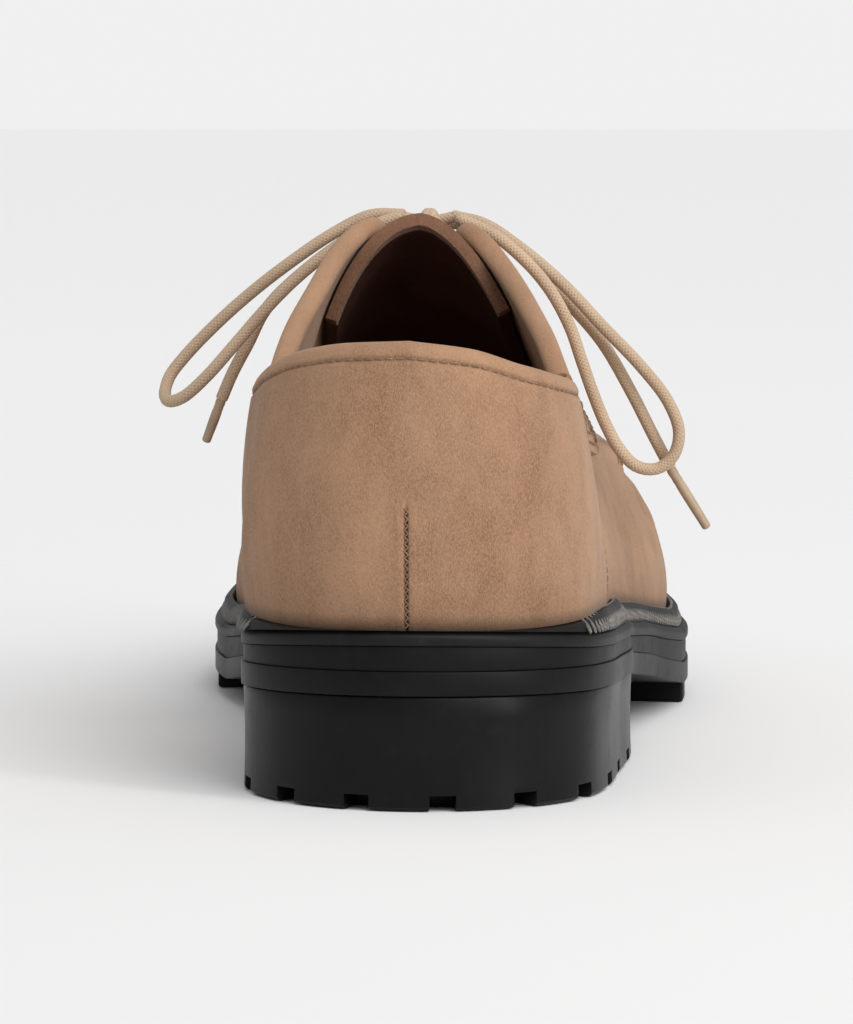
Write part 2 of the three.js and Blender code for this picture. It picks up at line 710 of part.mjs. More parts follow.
function makeOutsole() {
  const sink = outsoleThickness / 2;
  const parts = [layer(rim, bodyBottom, (y) => bodyBottom(y) + outsoleThickness)];
  const lugRim = inset(rim, () => lugStep);
  const inner = inset(rim, () => lugDepth);
  const foreIndexes = lugRim.map((_, i) => i).filter((i) => {
    const from = lugRim[i].x > 0 ? lugStartLateral : lugStartMedial;
    return lugRim[i].y > alongY(from);
  });
  const first = foreIndexes[0];
  const last = foreIndexes[foreIndexes.length - 1];
  let i = first;
  const spacing = rim[0].distanceTo(rim[1]);
  const lugSteps = Math.max(2, Math.round(lugLength / spacing));
  const gapSteps = Math.max(1, Math.round(lugGap / spacing));
  while (i + lugSteps <= last) {
    const middle = i + Math.round(lugSteps / 2);
    const corners = [lugRim[i], inner[i], inner[i + lugSteps], lugRim[i + lugSteps], lugRim[middle]];
    parts.push(lugPrism(corners, sink));
    i += lugSteps + gapSteps;
  }
  const barEnd = rimTip - 2.2 * lugDepth;
  for (let y = alongY(lugStartMedial) + lugLength; y < barEnd; y += lugLength + lugGap) {
    const middle = widthMiddle(inner, y);
    const half = reach(inner, new THREE.Vector2(middle, y), new THREE.Vector2(1, 0)) - lugGap;
    if (half < lugGap / 2) continue;
    const [near, far] = [y - lugLength / 2, y + lugLength / 2];
    const corners = [[middle, near], [middle - half, near + lugGap / 2], [middle - half, far],
      [middle, far - lugGap / 2], [middle + half, far], [middle + half, near + lugGap / 2]];
    const points = corners.map(([x, cy]) => new THREE.Vector2(x, cy));
    const left = [points[0], points[1], points[2], points[3]];
    const right = [points[0], points[3], points[4], points[5]];
    parts.push(lugPrism(left, sink), lugPrism(right, sink));
  }
  return Manifold.union(parts);
}

function makeHeel() {
  const outline = inset(rim, () => heelStep);
  const size = 2 * ballWidth;
  const block = layer(outline, () => 0, (y) => bodyBottom(y) - seatClearance);
  const behind = new THREE.BoxGeometry(size, size, size);
  behind.translate(0, heelLength - size / 2 - soleLength / 2, 0);
  let heel = block.intersect(toSolid(behind));
  const quarterTurn = heelRadius * Math.PI / 2;
  const most = Math.floor((quarterTurn + heelWall - notchWidth) / notchPitch - 0.5);
  for (const side of [-1, 1]) {
    for (let k = 0; k <= most; k += 1) {
      const run = (k + 0.5) * notchPitch;
      const onArc = run <= quarterTurn;
      const angle = onArc ? run / heelRadius : Math.PI / 2;
      const across = side * heelRadius * Math.sin(angle);
      const forward = onArc ? -heelRadius * Math.cos(angle) : run - quarterTurn;
      const spot = heelPoint(across, forward);
      const out = heelAcross.clone().multiplyScalar(side * Math.sin(angle))
        .addScaledVector(heelAxis, -Math.cos(angle));
      const box = new THREE.BoxGeometry(2 * notchDepth, notchWidth, 2 * notchHeight);
      box.rotateZ(Math.atan2(out.y, out.x));
      box.translate(spot.x, spot.y, 0);
      heel = heel.subtract(toSolid(box));
    }
  }
  return heel;
}

function makeMidsole() {
  return layer(midsoleRim, midsoleBottom, midsoleTop);
}

// Welt: a flat strip out to the rim, with a raised rib against the upper that fades out at the heel's back
function ribTop(y) {
  return weltTop(y) + weltRibHeight * smooth(shareAlong(y), 0, 0.14);
}
function makeWelt() {
  const strip = layer(rim, footHeight, weltTop);
  const ribRim = inset(foot, () => -weltRibWidth);
  const rib = layer(ribRim, (y) => footHeight(y) + weltThickness / 2, ribTop);
  return strip.add(rib).subtract(filledLast(grid, (entry) => seatClearance + seamStep(entry), weltThickness));
}

function makeInsole() {
  const board = layer(inset(rim, () => 1), footHeight, (y) => footHeight(y) + insoleThickness);
  return board.intersect(filledLast(grid, () => -wallThickness - seatClearance, weltThickness));
}

const onePiece = (solid) => {
  const bodies = solid.decompose();
  return bodies.reduce((big, body) => (body.volume() > big.volume() ? body : big));
};

// Lace crossings: straight tubes over the throat, joined where they meet over the eyelets
const eyeletRows = [
  { along: 0.400, across: 0.105 },
  { along: 0.438, across: 0.100 },
  { along: 0.476, across: 0.095 },
  { along: 0.514, across: 0.090 },
];
function besideCrown(y, across, lift) {
  const around = mix(heelFan, toeFan, (y - heelPivotY) / (toePivotY - heelPivotY));
  const side = across < 0 ? -1 : 1;
  let [low, high] = [0.5, 1];
  for (let i = 0; i < 30; i += 1) {
    const up = (low + high) / 2;
    const out = Math.abs(lastPoint(side, around, up).x - spineX(y));
    if (out > Math.abs(across)) low = up;
    else high = up;
  }
  const { point, normal } = lastSurface(side, around, low);
  return point.addScaledVector(normal, lift);
}

function tube(points, diameter, sides, steps) {
  const curve = new THREE.CatmullRomCurve3(points, false, 'centripetal');
  const shape = new THREE.Shape();
  for (let i = 0; i < sides; i += 1) {
    const angle = 2 * Math.PI * i / sides;
    const [x, y] = [Math.cos(angle) * diameter / 2, Math.sin(angle) * diameter / 2];
    if (i === 0) shape.moveTo(x, y);
    else shape.lineTo(x, y);
  }
  shape.closePath();
  return new THREE.ExtrudeGeometry(shape, { steps, extrudePath: curve, bevelEnabled: false });
}

function makeLaceCrossings() {
  const lift = 2 * seatClearance + facingThickness + (facingLift + laceDiameter) / 2;
  const runs = [];
  for (let i = 0; i < eyeletRows.length - 1; i += 1) {
    for (const side of [1, -1]) runs.push([eyeletRows[i], side, eyeletRows[i + 1], -side]);
  }
  const front = eyeletRows[eyeletRows.length - 1];
  runs.push([front, 1, front, -1]);
  const tubes = runs.map(([fromRow, fromSide, toRow, toSide]) => {
    const points = [0, 1 / 3, 2 / 3, 1].map((share) => {
      const across = mix(fromSide * fromRow.across, toSide * toRow.across, share) * ballWidth;
      return besideCrown(alongY(mix(fromRow.along, toRow.along, share)), across, lift);
    });
    const way = points[1].clone().sub(points[0]).normalize().multiplyScalar(laceDiameter / 2);
    points[0].sub(way);
    way.subVectors(points[3], points[2]).normalize().multiplyScalar(laceDiameter / 2);
    points[3].add(way);
    return toSolid(tube(points, laceDiameter, 6, 3));
  });
  return Manifold.union(tubes);
}

// The bow. Each route is chosen by hand, in the shoe's own frame.
const knotRoute = [[-4.3, -27.0, 111.0], [0.4, -26.9, 111.2], [5.1, -27.0, 111.0]];
const knotDiameter = 6.4;
const cordRoutes = {
  lace_loop_lateral: [
    [5.9, -28.6, 112.4], [12.5, -29.0, 110.8], [20.2, -28.6, 105.8], [29.8, -27.6, 97.6],
    [38.4, -26.6, 88.4], [46.8, -25.6, 79.6], [52.6, -24.8, 72.0], [55.0, -24.6, 65.4],
    [53.8, -24.9, 60.2], [50.2, -25.6, 57.4], [45.8, -26.8, 58.0], [42.0, -28.2, 62.0],
    [39.0, -29.4, 67.6], [36.4, -30.6, 74.2], [34.0, -31.8, 81.2], [31.4, -33.0, 88.8],
    [27.2, -34.0, 96.6], [22.0, -34.2, 102.8], [14.8, -33.0, 108.6], [7.2, -31.6, 112.0]],
  lace_end_lateral: [[5.9, -25.2, 112.4], [12.0, -24.6, 110.4], [20.6, -23.6, 103.6], [31.6, -22.6, 92.4],
    [38.2, -22.0, 84.6], [44.4, -21.6, 74.0], [49.6, -21.2, 63.8], [53.0, -21.0, 57.4]],
  lace_loop_medial: [
    [-5.0, -28.6, 112.7], [-12.0, -29.6, 112.6], [-20.0, -30.0, 108.8], [-30.4, -29.6, 101.8],
    [-39.4, -28.8, 94.8], [-47.4, -27.8, 87.6], [-53.4, -26.7, 81.4], [-56.4, -27.5, 77.4],
    [-57.2, -30.4, 73.8], [-55.8, -34.2, 72.2], [-52.2, -36.8, 73.4], [-47.2, -37.6, 77.8],
    [-41.0, -37.0, 84.8], [-34.6, -36.0, 92.2], [-27.4, -35.4, 99.4], [-18.4, -34.2, 106.4],
    [-9.4, -33.0, 111.2], [-5.6, -32.4, 112.4]],
  lace_end_medial: [[-5.1, -25.5, 112.2], [-11.0, -24.8, 110.6], [-21.0, -25.0, 105.0], [-35.0, -25.4, 92.6],
    [-39.4, -25.6, 84.4], [-42.8, -25.8, 78.0], [-45.2, -26.0, 72.4]],
};
const agletRoutes = {
  aglet_lateral: [[53.3, -21.0, 56.8], [61.0, -20.4, 44.4]],
  aglet_medial: [[-45.4, -26.0, 71.8], [-48.6, -26.2, 63.2]],
};
const vectors = (route) => route.map(([x, y, z]) => new THREE.Vector3(x, y, z));

add('outsole', toGeometry(makeOutsole()), materials.rubber);
add('heel', toGeometry(makeHeel()), materials.rubber);
add('midsole', toGeometry(makeMidsole()), materials.rubber);
add('welt', toGeometry(onePiece(makeWelt())), materials.rubber);
add('insole', toGeometry(makeInsole()), materials.insole);
add('upper', toGeometry(makeUpper()), materials.suede);
add('heel_panel', toGeometry(onePiece(makeHeelPanel())), materials.suede);
add('facing_lateral', toGeometry(onePiece(makeFacing(1))), materials.suede);
add('facing_medial', toGeometry(onePiece(makeFacing(-1))), materials.suede);
add('tongue', toGeometry(onePiece(makeTongue())), materials.lining);
add('lace_crossings', toGeometry(makeLaceCrossings()), materials.lace);
add('lace_knot', toGeometry(toSolid(tube(vectors(knotRoute), knotDiameter, 8, 2))), materials.lace);
for (const [name, route] of Object.entries(cordRoutes)) {
  add(name, toGeometry(toSolid(tube(vectors(route), laceDiameter, 8, route.length))), materials.lace);
}
for (const [name, route] of Object.entries(agletRoutes)) {
  add(name, toGeometry(toSolid(tube(vectors(route), agletDiameter, 8, 1))), materials.aglet);
}

export default shoe;
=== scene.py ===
import math

import bpy
import numpy as np
from bpy.props import FloatProperty, FloatVectorProperty, PointerProperty
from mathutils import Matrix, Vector


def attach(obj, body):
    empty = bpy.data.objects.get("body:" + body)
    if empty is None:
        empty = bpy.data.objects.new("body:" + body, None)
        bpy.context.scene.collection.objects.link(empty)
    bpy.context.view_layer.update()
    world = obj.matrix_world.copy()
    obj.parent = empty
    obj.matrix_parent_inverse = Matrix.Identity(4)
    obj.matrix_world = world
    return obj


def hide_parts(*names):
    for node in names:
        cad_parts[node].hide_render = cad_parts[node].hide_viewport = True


bl_info = {
    "name": "Split Toe Derby",
    "version": (1, 0, 0),
    "blender": (4, 5, 0),
    "location": "3D View > Sidebar > Derby",
    "description": "Dresses the right shoe's solids with suede, rubber, stitching and laces",
    "category": "Object",
}

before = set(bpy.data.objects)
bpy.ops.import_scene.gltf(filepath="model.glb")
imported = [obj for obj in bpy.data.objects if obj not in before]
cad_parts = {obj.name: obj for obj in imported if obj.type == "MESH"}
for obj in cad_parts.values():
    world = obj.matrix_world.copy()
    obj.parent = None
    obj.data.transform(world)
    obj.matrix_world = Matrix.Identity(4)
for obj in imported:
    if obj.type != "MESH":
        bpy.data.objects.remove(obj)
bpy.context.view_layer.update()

MM = 0.001

# The last and the sole, in millimetres, in the frame of the solids
SOLE_LENGTH = 302.0
BALL_WIDTH = 112.4
HEEL_RADIUS = 37.3
HEEL_TURN = math.radians(4.2)
HEEL_LENGTH = 82.0
HEEL_HEIGHT = 22.4
HEEL_STEP = 0.5
OUTSOLE = 4.5
MIDSOLE = 4.4
MIDSOLE_STEP = 0.5
WELT = 3.0
RIB_HEIGHT = 4.2
INSOLE = 2.6
LUG_HEIGHT = 5.0
LUG_LENGTH = 12.0
LUG_GAP = 7.0
LUG_DEPTH = 15.0
LUG_STEP = 0.7
LUG_START_LATERAL = 0.575
LUG_START_MEDIAL = 0.64
TOE_SPRING = 15.0
SPRING_START = 0.665
SPRING_CURVE = 1.7
NOTCH_WIDTH = 5.2
NOTCH_HEIGHT = 3.0
NOTCH_DEPTH = 7.0
NOTCH_PITCH = 17.5
GAP = 0.3
INSTEP_HEIGHT = 114.0
WALL = 2.2
PANEL = 1.4
FACING = 1.8
FACING_LIFT = 1.3
TONGUE = 2.6
TONGUE_GAP = 0.6

HEEL_TOP = HEEL_HEIGHT + GAP
SEAT_HEIGHT = HEEL_TOP + OUTSOLE + MIDSOLE + 2 * GAP
CROWN_RISE = INSTEP_HEIGHT - SEAT_HEIGHT
HALF_BALL = BALL_WIDTH / 2
HEEL_FAN = 0.2
TOE_FAN = 0.8
HEEL_PIVOT = HEEL_RADIUS - SOLE_LENGTH / 2
TOE_PIVOT = SOLE_LENGTH / 2 - 0.19 * SOLE_LENGTH

# Forepart of the outline: share of the length, share of half the ball's width
FORE_OUTLINE = (
    (0.350, 0.806), (0.447, 0.876), (0.530, 0.962), (0.603, 1.000), (0.689, 0.962),
    (0.778, 0.845), (0.861, 0.652), (0.930, 0.402), (0.980, 0.132), (1.000, -0.117),
    (0.987, -0.384), (0.944, -0.633), (0.868, -0.838), (0.785, -0.961), (0.702, -1.000),
    (0.622, -0.961), (0.530, -0.830), (0.437, -0.675), (0.351, -0.570),
)
# Centre line seen from above: share of the length, share of the ball's width
SPINE = ((0.12, 0.045), (0.24, 0.022), (0.35, 0.0), (0.47, -0.010), (0.58, -0.020), (0.70, -0.032),
         (0.81, -0.050))
# Welt that shows beside the upper: share of the length, lateral and medial width
WELT_SHOW = ((0.0, 4.4, 4.4), (0.30, 4.6, 3.4), (0.45, 5.2, 3.8), (0.62, 6.6, 6.2), (1.0, 7.2, 7.2))
# Fall of the sole: share of the length, height as a share of the heel's, midsole's thickness as a share
FALL = ((0.0, 1.0, 1.0), (0.10, 0.92, 0.64), (0.20, 0.82, 0.56), (0.28, 0.75, 0.56), (0.37, 0.52, 0.66),
        (0.44, 0.36, 0.80), (0.51, 0.15, 0.92), (0.57, 0.0, 1.0))
# Crown: share of the length, height over the seat as a share of the instep's
CROWN = ((0.12, 1.14), (0.24, 1.105), (0.35, 1.0), (0.467, 0.755), (0.583, 0.545), (0.695, 0.385),
         (0.81, 0.275))
# Half sections, from the heel's back (0) to the toe's tip (1): lean of the lower handle, its height,
# place of the upper handle, its height
LATERAL = (
    (0.00, 0.064, 0.42, 0.84, 0.96), (0.10, 0.050, 0.42, 0.80, 0.95), (0.20, 0.020, 0.40, 0.70, 0.94),
    (0.27, 0.000, 0.39, 0.55, 0.96), (0.33, -0.030, 0.41, 0.46, 0.97), (0.40, -0.035, 0.43, 0.50, 0.99),
    (0.50, 0.008, 0.38, 0.56, 0.99), (0.56, 0.058, 0.42, 0.60, 1.00), (0.60, 0.082, 0.46, 0.60, 1.00),
    (0.70, 0.068, 0.50, 0.62, 1.00), (0.80, 0.036, 0.54, 0.62, 1.00), (0.90, 0.026, 0.62, 0.62, 0.98),
    (1.00, 0.020, 0.64, 0.60, 0.95),
)
MEDIAL = (
    (0.00, 0.064, 0.42, 0.84, 0.96), (0.10, 0.060, 0.40, 0.83, 0.95), (0.235, 0.077, 0.35, 0.84, 0.94),
    (0.30, 0.082, 0.33, 0.96, 0.95), (0.35, 0.066, 0.34, 0.98, 0.97), (0.40, 0.060, 0.34, 0.92, 0.99),
    (0.50, 0.078, 0.36, 0.72, 0.99), (0.56, 0.080, 0.40, 0.66, 1.00), (0.60, 0.078, 0.44, 0.62, 1.00),
    (0.70, 0.058, 0.48, 0.60, 1.00), (0.80, 0.036, 0.54, 0.62, 1.00), (0.90, 0.026, 0.62, 0.62, 0.98),
    (1.00, 0.020, 0.64, 0.60, 0.95),
)
# The upper's edge, as a share of the way from the foot to the crown: lateral, medial
EDGE = (
    (0.000, 0.473, 0.473), (0.050, 0.461, 0.474), (0.100, 0.434, 0.467), (0.150, 0.421, 0.450),
    (0.200, 0.419, 0.431), (0.235, 0.420, 0.429), (0.270, 0.423, 0.506), (0.300, 0.500, 0.572),
    (0.330, 0.565, 0.642), (0.367, 0.670, 0.749), (0.400, 0.835, 0.867), (0.500, 0.930, 0.930),
    (0.560, 1.000, 1.000),
)
# Side seams in side view: share of the length, height over the seat as a share of the instep's
LATERAL_SEAM = ((0.200, 0.60), (0.190, 0.53), (0.188, 0.40), (0.194, 0.28), (0.192, 0.18), (0.172, 0.06),
                (0.150, -0.10))
MEDIAL_SEAM = ((0.156, 0.60), (0.172, 0.53), (0.205, 0.40), (0.240, 0.28), (0.272, 0.18), (0.305, 0.06),
               (0.322, -0.10))
# Lower edge of a facing in side view: lateral share, medial share, height
FACING_EDGE = (
    (0.200, 0.150, 0.62), (0.216, 0.170, 0.565), (0.270, 0.240, 0.485), (0.335, 0.320, 0.395),
    (0.380, 0.375, 0.350), (0.402, 0.400, 0.338), (0.424, 0.424, 0.350), (0.445, 0.445, 0.390),
    (0.480, 0.480, 0.460), (0.520, 0.520, 0.600), (0.550, 0.550, 0.720),
)
FACING_CORNER = (0.405, 0.33)
EYELETS = ((0.400, 0.105), (0.438, 0.100), (0.476, 0.095), (0.514, 0.090))
APRON = 0.5

# What a millimetre is on the upper: a share of its height at the apron, a turn at the toe and at the heel's
# back, a share of the heel panel's half at a side seam, and a turn along the tongue
APRON_MM = 0.0055
TOE_MM = 0.00222
HEEL_MM = 0.00345
SEAM_MM = 0.0105
TONGUE_MM = 0.0029
# Usual height of the upper, and of its heel, for distances from an edge
COLUMN_HEIGHT = 64.0
HEEL_COLUMN = COLUMN_HEIGHT * 0.86

# Sewing: distance of the line from an edge, pitch, length and radius of a fine stitch, top of the dart
EDGE_LINE = 1.9
STITCH_PITCH = 2.1
STITCH_LENGTH = 1.75
STITCH_RADIUS = 0.26
DART_TOP = 59.0
# Half the height of a stitch over the apron's seam, and half the width of one over the toe's
APRON_STITCH = 2.3
TOE_STITCH = 2.2
# The tongue's back edge, as a turn, and the width of its rim
TONGUE_START = 0.378
TONGUE_RIM = 3.6
# The folded edges: steps round the fold, how far it tucks in, and its inner offset
ROLL_STEPS = 9
ROLL_TUCK = 2.0
ROLL_INNER = -WALL - 0.15
# The layers of the sole are pressed into one another by this much, so that no slit shows between them
LAYER_LAP = 0.27

# The bow's routes
ROUTES = {
    "lace_loop_lateral": (
        (5.9, -28.6, 112.4), (12.5, -29.0, 110.8), (20.2, -28.6, 105.8), (29.8, -27.6, 97.6),
        (38.4, -26.6, 88.4), (46.8, -25.6, 79.6), (52.6, -24.8, 72.0), (55.0, -24.6, 65.4),
        (53.8, -24.9, 60.2), (50.2, -25.6, 57.4), (45.8, -26.8, 58.0), (42.0, -28.2, 62.0),
        (39.0, -29.4, 67.6), (36.4, -30.6, 74.2), (34.0, -31.8, 81.2), (31.4, -33.0, 88.8),
        (27.2, -34.0, 96.6), (22.0, -34.2, 102.8), (14.8, -33.0, 108.6), (7.2, -31.6, 112.0)),
    "lace_end_lateral": (
        (5.9, -25.2, 112.4), (12.0, -24.6, 110.4), (20.6, -23.6, 103.6), (31.6, -22.6, 92.4),
        (38.2, -22.0, 84.6), (44.4, -21.6, 74.0), (49.6, -21.2, 63.8), (53.0, -21.0, 57.4)),
    "lace_loop_medial": (
        (-5.0, -28.6, 112.7), (-12.0, -29.6, 112.6), (-20.0, -30.0, 108.8), (-30.4, -29.6, 101.8),
        (-39.4, -28.8, 94.8), (-47.4, -27.8, 87.6), (-53.4, -26.7, 81.4), (-56.4, -27.5, 77.4),
        (-57.2, -30.4, 73.8), (-55.8, -34.2, 72.2), (-52.2, -36.8, 73.4), (-47.2, -37.6, 77.8),
        (-41.0, -37.0, 84.8), (-34.6, -36.0, 92.2), (-27.4, -35.4, 99.4), (-18.4, -34.2, 106.4),
        (-9.4, -33.0, 111.2), (-5.6, -32.4, 112.4)),
    "lace_end_medial": (
        (-5.1, -25.5, 112.2), (-11.0, -24.8, 110.6), (-21.0, -25.0, 105.0), (-35.0, -25.4, 92.6),
        (-39.4, -25.6, 84.4), (-42.8, -25.8, 78.0), (-45.2, -26.0, 72.4)),
}
AGLETS = {
    "aglet_lateral": ((53.3, -21.0, 56.8), (61.0, -20.4, 44.4)),
    "aglet_medial": ((-45.4, -26.0, 71.8), (-48.6, -26.2, 63.2)),
}
KNOT_CENTRE = (0.4, -26.9, 111.2)


# ---------------------------------------------------------------- numbers

def mix(a, b, share):
    """A value part of the way from a to b."""
    return a + (b - a) * share


def smooth(value, low, high):
    """0 below low, 1 above high and an eased step between."""
    share = np.clip((np.asarray(value, float) - low) / (high - low), 0, 1)
    return share * share * (3 - 2 * share)


def bump(distance, width):
    """A soft hill of height 1."""
    return np.exp(-(distance / width) ** 2)


def through(rows, column=1, places=0):
    """A smooth line through one column of a table, without overshoot."""
    x = np.array([row[places] for row in rows], float)
    y = np.array([row[column] for row in rows], float)
    slope = np.diff(y) / np.diff(x)
    tangent = np.zeros(len(x))
    tangent[0], tangent[-1] = slope[0], slope[-1]
    for i in range(1, len(x) - 1):
        if slope[i - 1] * slope[i] > 0:
            tangent[i] = 2 * slope[i - 1] * slope[i] / (slope[i - 1] + slope[i])

    def at(place):
        p = np.clip(place, x[0], x[-1])
        i = np.clip(np.searchsorted(x, p, side="left") - 1, 0, len(x) - 2)
        width = x[i + 1] - x[i]
        t = (p - x[i]) / width
        return (y[i] * (1 + 2 * t) * (1 - t) ** 2 + tangent[i] * width * t * (1 - t) ** 2
                + y[i + 1] * t * t * (3 - 2 * t) + tangent[i + 1] * width * t * t * (t - 1))

    return at


def share_along(y):
    return y / SOLE_LENGTH + 0.5


def along_y(share):
    return (share - 0.5) * SOLE_LENGTH


def above_seat(rise):
    return SEAT_HEIGHT + rise * CROWN_RISE


def spread(curve, step=None, count=None):
    """Points evenly spaced along a polyline."""
    run = np.concatenate([[0], np.cumsum(np.linalg.norm(np.diff(curve, axis=0), axis=1))])
    if count is None:
        count = max(2, int(round(run[-1] / step)) + 1)
    places = np.linspace(0, run[-1], count)
    return np.stack([np.interp(places, run, curve[:, k]) for k in range(curve.shape[1])], 1)


def flowing(points, step=1.0, closed=False):
    """A centripetal spline through the points, as evenly spaced points."""
    p = np.array(points, float)
    n = len(p)
    if closed:
        knots = [(p[k - 1], p[k], p[(k + 1) % n], p[(k + 2) % n]) for k in range(n)]
    else:
        ends = np.vstack([2 * p[0] - p[1], p, 2 * p[-1] - p[-2]])
        knots = [tuple(ends[k:k + 4]) for k in range(n - 1)]
    t = np.linspace(0, 1, 40, endpoint=False)[:, None]
    dense = []
    for a, b, c, d in knots:
        da, db, dc = (math.sqrt(max(np.linalg.norm(v), 1e-6)) for v in (b - a, c - b, d - c))
        start = ((b - a) / da - (c - a) / (da + db) + (c - b) / db) * db
        stop = ((c - b) / db - (d - b) / (db + dc) + (d - c) / dc) * db
        dense.append(b + start * t + (-3 * b + 3 * c - 2 * start - stop) * t ** 2
                     + (2 * b - 2 * c + start + stop) * t ** 3)
    dense.append(p[:1] if closed else p[-1:])
    return spread(np.vstack(dense), step)


# ---------------------------------------------------------------- the sole's outline

def heel_point(across, forward):
    axis = np.array([math.sin(HEEL_TURN), math.cos(HEEL_TURN)])
    side = np.array([axis[1], -axis[0]])
    centre = np.array([0.06 * HALF_BALL, -SOLE_LENGTH / 2]) + axis * HEEL_RADIUS
    return centre + side * across + axis * forward


def sole_outline():
    wall = HEEL_LENGTH - HEEL_RADIUS
    points = [heel_point(HEEL_RADIUS, 0.55 * wall), heel_point(HEEL_RADIUS, 0.98 * wall)]
    points += [np.array([across * HALF_BALL, along_y(along)]) for along, across in FORE_OUTLINE]
    points += [heel_point(-HEEL_RADIUS, 0.98 * wall), heel_point(-HEEL_RADIUS, 0.55 * wall)]
    for angle in np.linspace(-math.pi / 2, math.pi / 2, 9):
        points.append(heel_point(HEEL_RADIUS * math.sin(angle), -HEEL_RADIUS * math.cos(angle)))
    curve = flowing(points, 1.0, closed=True)
    return spread(curve, count=401)[:400]


def inset(outline, distance):
    """An anticlockwise outline moved inwards by a number or by one number a point."""
    way = np.roll(outline, -1, 0) - np.roll(outline, 1, 0)
    way /= np.linalg.norm(way, axis=1)[:, None]
    inward = np.stack([-way[:, 1], way[:, 0]], 1)
    return outline + inward * np.broadcast_to(distance, len(outline))[:, None]


def reach(outline, start, way):
    """Distance from each start, along its way, to the outline."""
    edge = np.roll(outline, -1, 0) - outline
    found = []
    for i in range(0, len(start), 2000):
        s, w = start[i:i + 2000, None], way[i:i + 2000, None]
        det = w[..., 0] * edge[:, 1] - w[..., 1] * edge[:, 0]
        off = outline - s
        det = np.where(np.abs(det) < 1e-9, np.nan, det)
        distance = (off[..., 0] * edge[:, 1] - off[..., 1] * edge[:, 0]) / det
        share = (off[..., 0] * w[..., 1] - off[..., 1] * w[..., 0]) / det
        good = (share >= -1e-9) & (share <= 1 + 1e-9)
        found.append(np.where(good, distance, 0).max(1))
    return np.concatenate(found)


spine_share = through(SPINE)
fall_height = through(FALL, 1)
fall_midsole = through(FALL, 2)
crown_share = through(CROWN)


def spine_x(y):
    return spine_share(share_along(y)) * BALL_WIDTH


def body_bottom(y):
    spring = np.maximum(0, (share_along(y) - SPRING_START) / (1 - SPRING_START))
    return mix(LUG_HEIGHT, HEEL_TOP, fall_height(share_along(y))) + TOE_SPRING * spring ** SPRING_CURVE


def body_top(y):
    return body_bottom(y) + OUTSOLE


def midsole_bottom(y):
    return body_top(y) + GAP


def midsole_top(y):
    return midsole_bottom(y) + MIDSOLE * fall_midsole(share_along(y))


def foot_height(y):
    return midsole_top(y) + GAP


def welt_top(y):
    return foot_height(y) + WELT


def rib_top(y):
    return welt_top(y) + RIB_HEIGHT * smooth(share_along(y), 0, 0.14)


RIM = sole_outline()
WELT_WIDTH = np.where(RIM[:, 0] > spine_x(RIM[:, 1]),
                      through(WELT_SHOW, 1)(share_along(RIM[:, 1])),
                      through(WELT_SHOW, 2)(share_along(RIM[:, 1])))
FOOT = inset(RIM, WELT_WIDTH)

# ---------------------------------------------------------------- the last

SIDES = []
for rows, edge in ((LATERAL, 1), (MEDIAL, 2)):
    SIDES.append([through(rows, k) for k in (1, 2, 3, 4)] + [through(EDGE, edge)])


def by_side(side, around, k):
    return np.where(side > 0, SIDES[0][k](around), SIDES[1][k](around))


def fan(turn):
    """Start and direction of each half section. turn is 0 at the heel's back, 1 at the toe's tip on the
    lateral side and -1 there on the medial side."""
    turn = (np.asarray(turn, float) + 1) % 2 - 1
    side, around = np.where(turn < 0, -1.0, 1.0), np.abs(turn)
    toe = np.maximum(0, (around - TOE_FAN) / (1 - TOE_FAN))
    heel = np.minimum(1, around / HEEL_FAN)
    y = mix(HEEL_PIVOT, TOE_PIVOT, np.clip((around - HEEL_FAN) / (TOE_FAN - HEEL_FAN), 0, 1))
    angle = (heel - 1 + toe) * math.pi / 2
    start = np.stack([spine_x(y), y], -1)
    way = np.stack([side * np.cos(angle), np.sin(angle)], -1)
    return side, around, start, way


def around_at(y):
    """The middle sections' place on the way round, from the shoe's own y."""
    return mix(HEEL_FAN, TOE_FAN, (y - HEEL_PIVOT) / (TOE_PIVOT - HEEL_PIVOT))


def cut(turn):
    side, around, _, _ = fan(turn)
    return by_side(side, around, 4)


def last(turn, up):
    """Points of the last's surface. up is 0 at the foot and 1 at the crown."""
    turn, up = np.broadcast_arrays(np.asarray(turn, float), np.asarray(up, float))
    keys, back = np.unique((turn + 1) % 2 - 1, return_inverse=True)
    back = back.reshape(turn.shape)
    side, around, start, way = fan(keys)
    low = reach(FOOT, start, way)
    foot_z = foot_height(start[:, 1] + way[:, 1] * low)
    crown = SEAT_HEIGHT + crown_share(share_along(start[:, 1])) * CROWN_RISE
    rise = crown - foot_z
    lean, lean_z, high, high_z = (by_side(side, around, k) for k in range(4))
    out = (low, low + lean * BALL_WIDTH, low * high, 0 * low)
    height = (foot_z, foot_z + lean_z * rise, foot_z + high_z * rise, crown)
    weights = ((1 - up) ** 3, 3 * up * (1 - up) ** 2, 3 * up * up * (1 - up), up ** 3)
    reached = sum(o[back] * w for o, w in zip(out, weights))
    z = sum(h[back] * w for h, w in zip(height, weights))
    x, y = (start[back, i] + way[back, i] * reached for i in (0, 1))
    return np.stack([x, y, z], -1)


def unit(v):
    return v / np.maximum(np.linalg.norm(v, axis=-1, keepdims=True), 1e-9)


def facing_out(turn, up):
    """Direction straight out of the last, and the direction up its surface."""
    turn, up = np.broadcast_arrays(np.asarray(turn, float), np.asarray(up, float))
    level = np.minimum(up, 0.985)
    ahead = last(turn + 2e-3, level) - last(turn - 2e-3, level)
    higher = last(turn, level + 2e-3) - last(turn, level - 2e-3)
    return unit(np.cross(ahead, higher)), unit(higher)
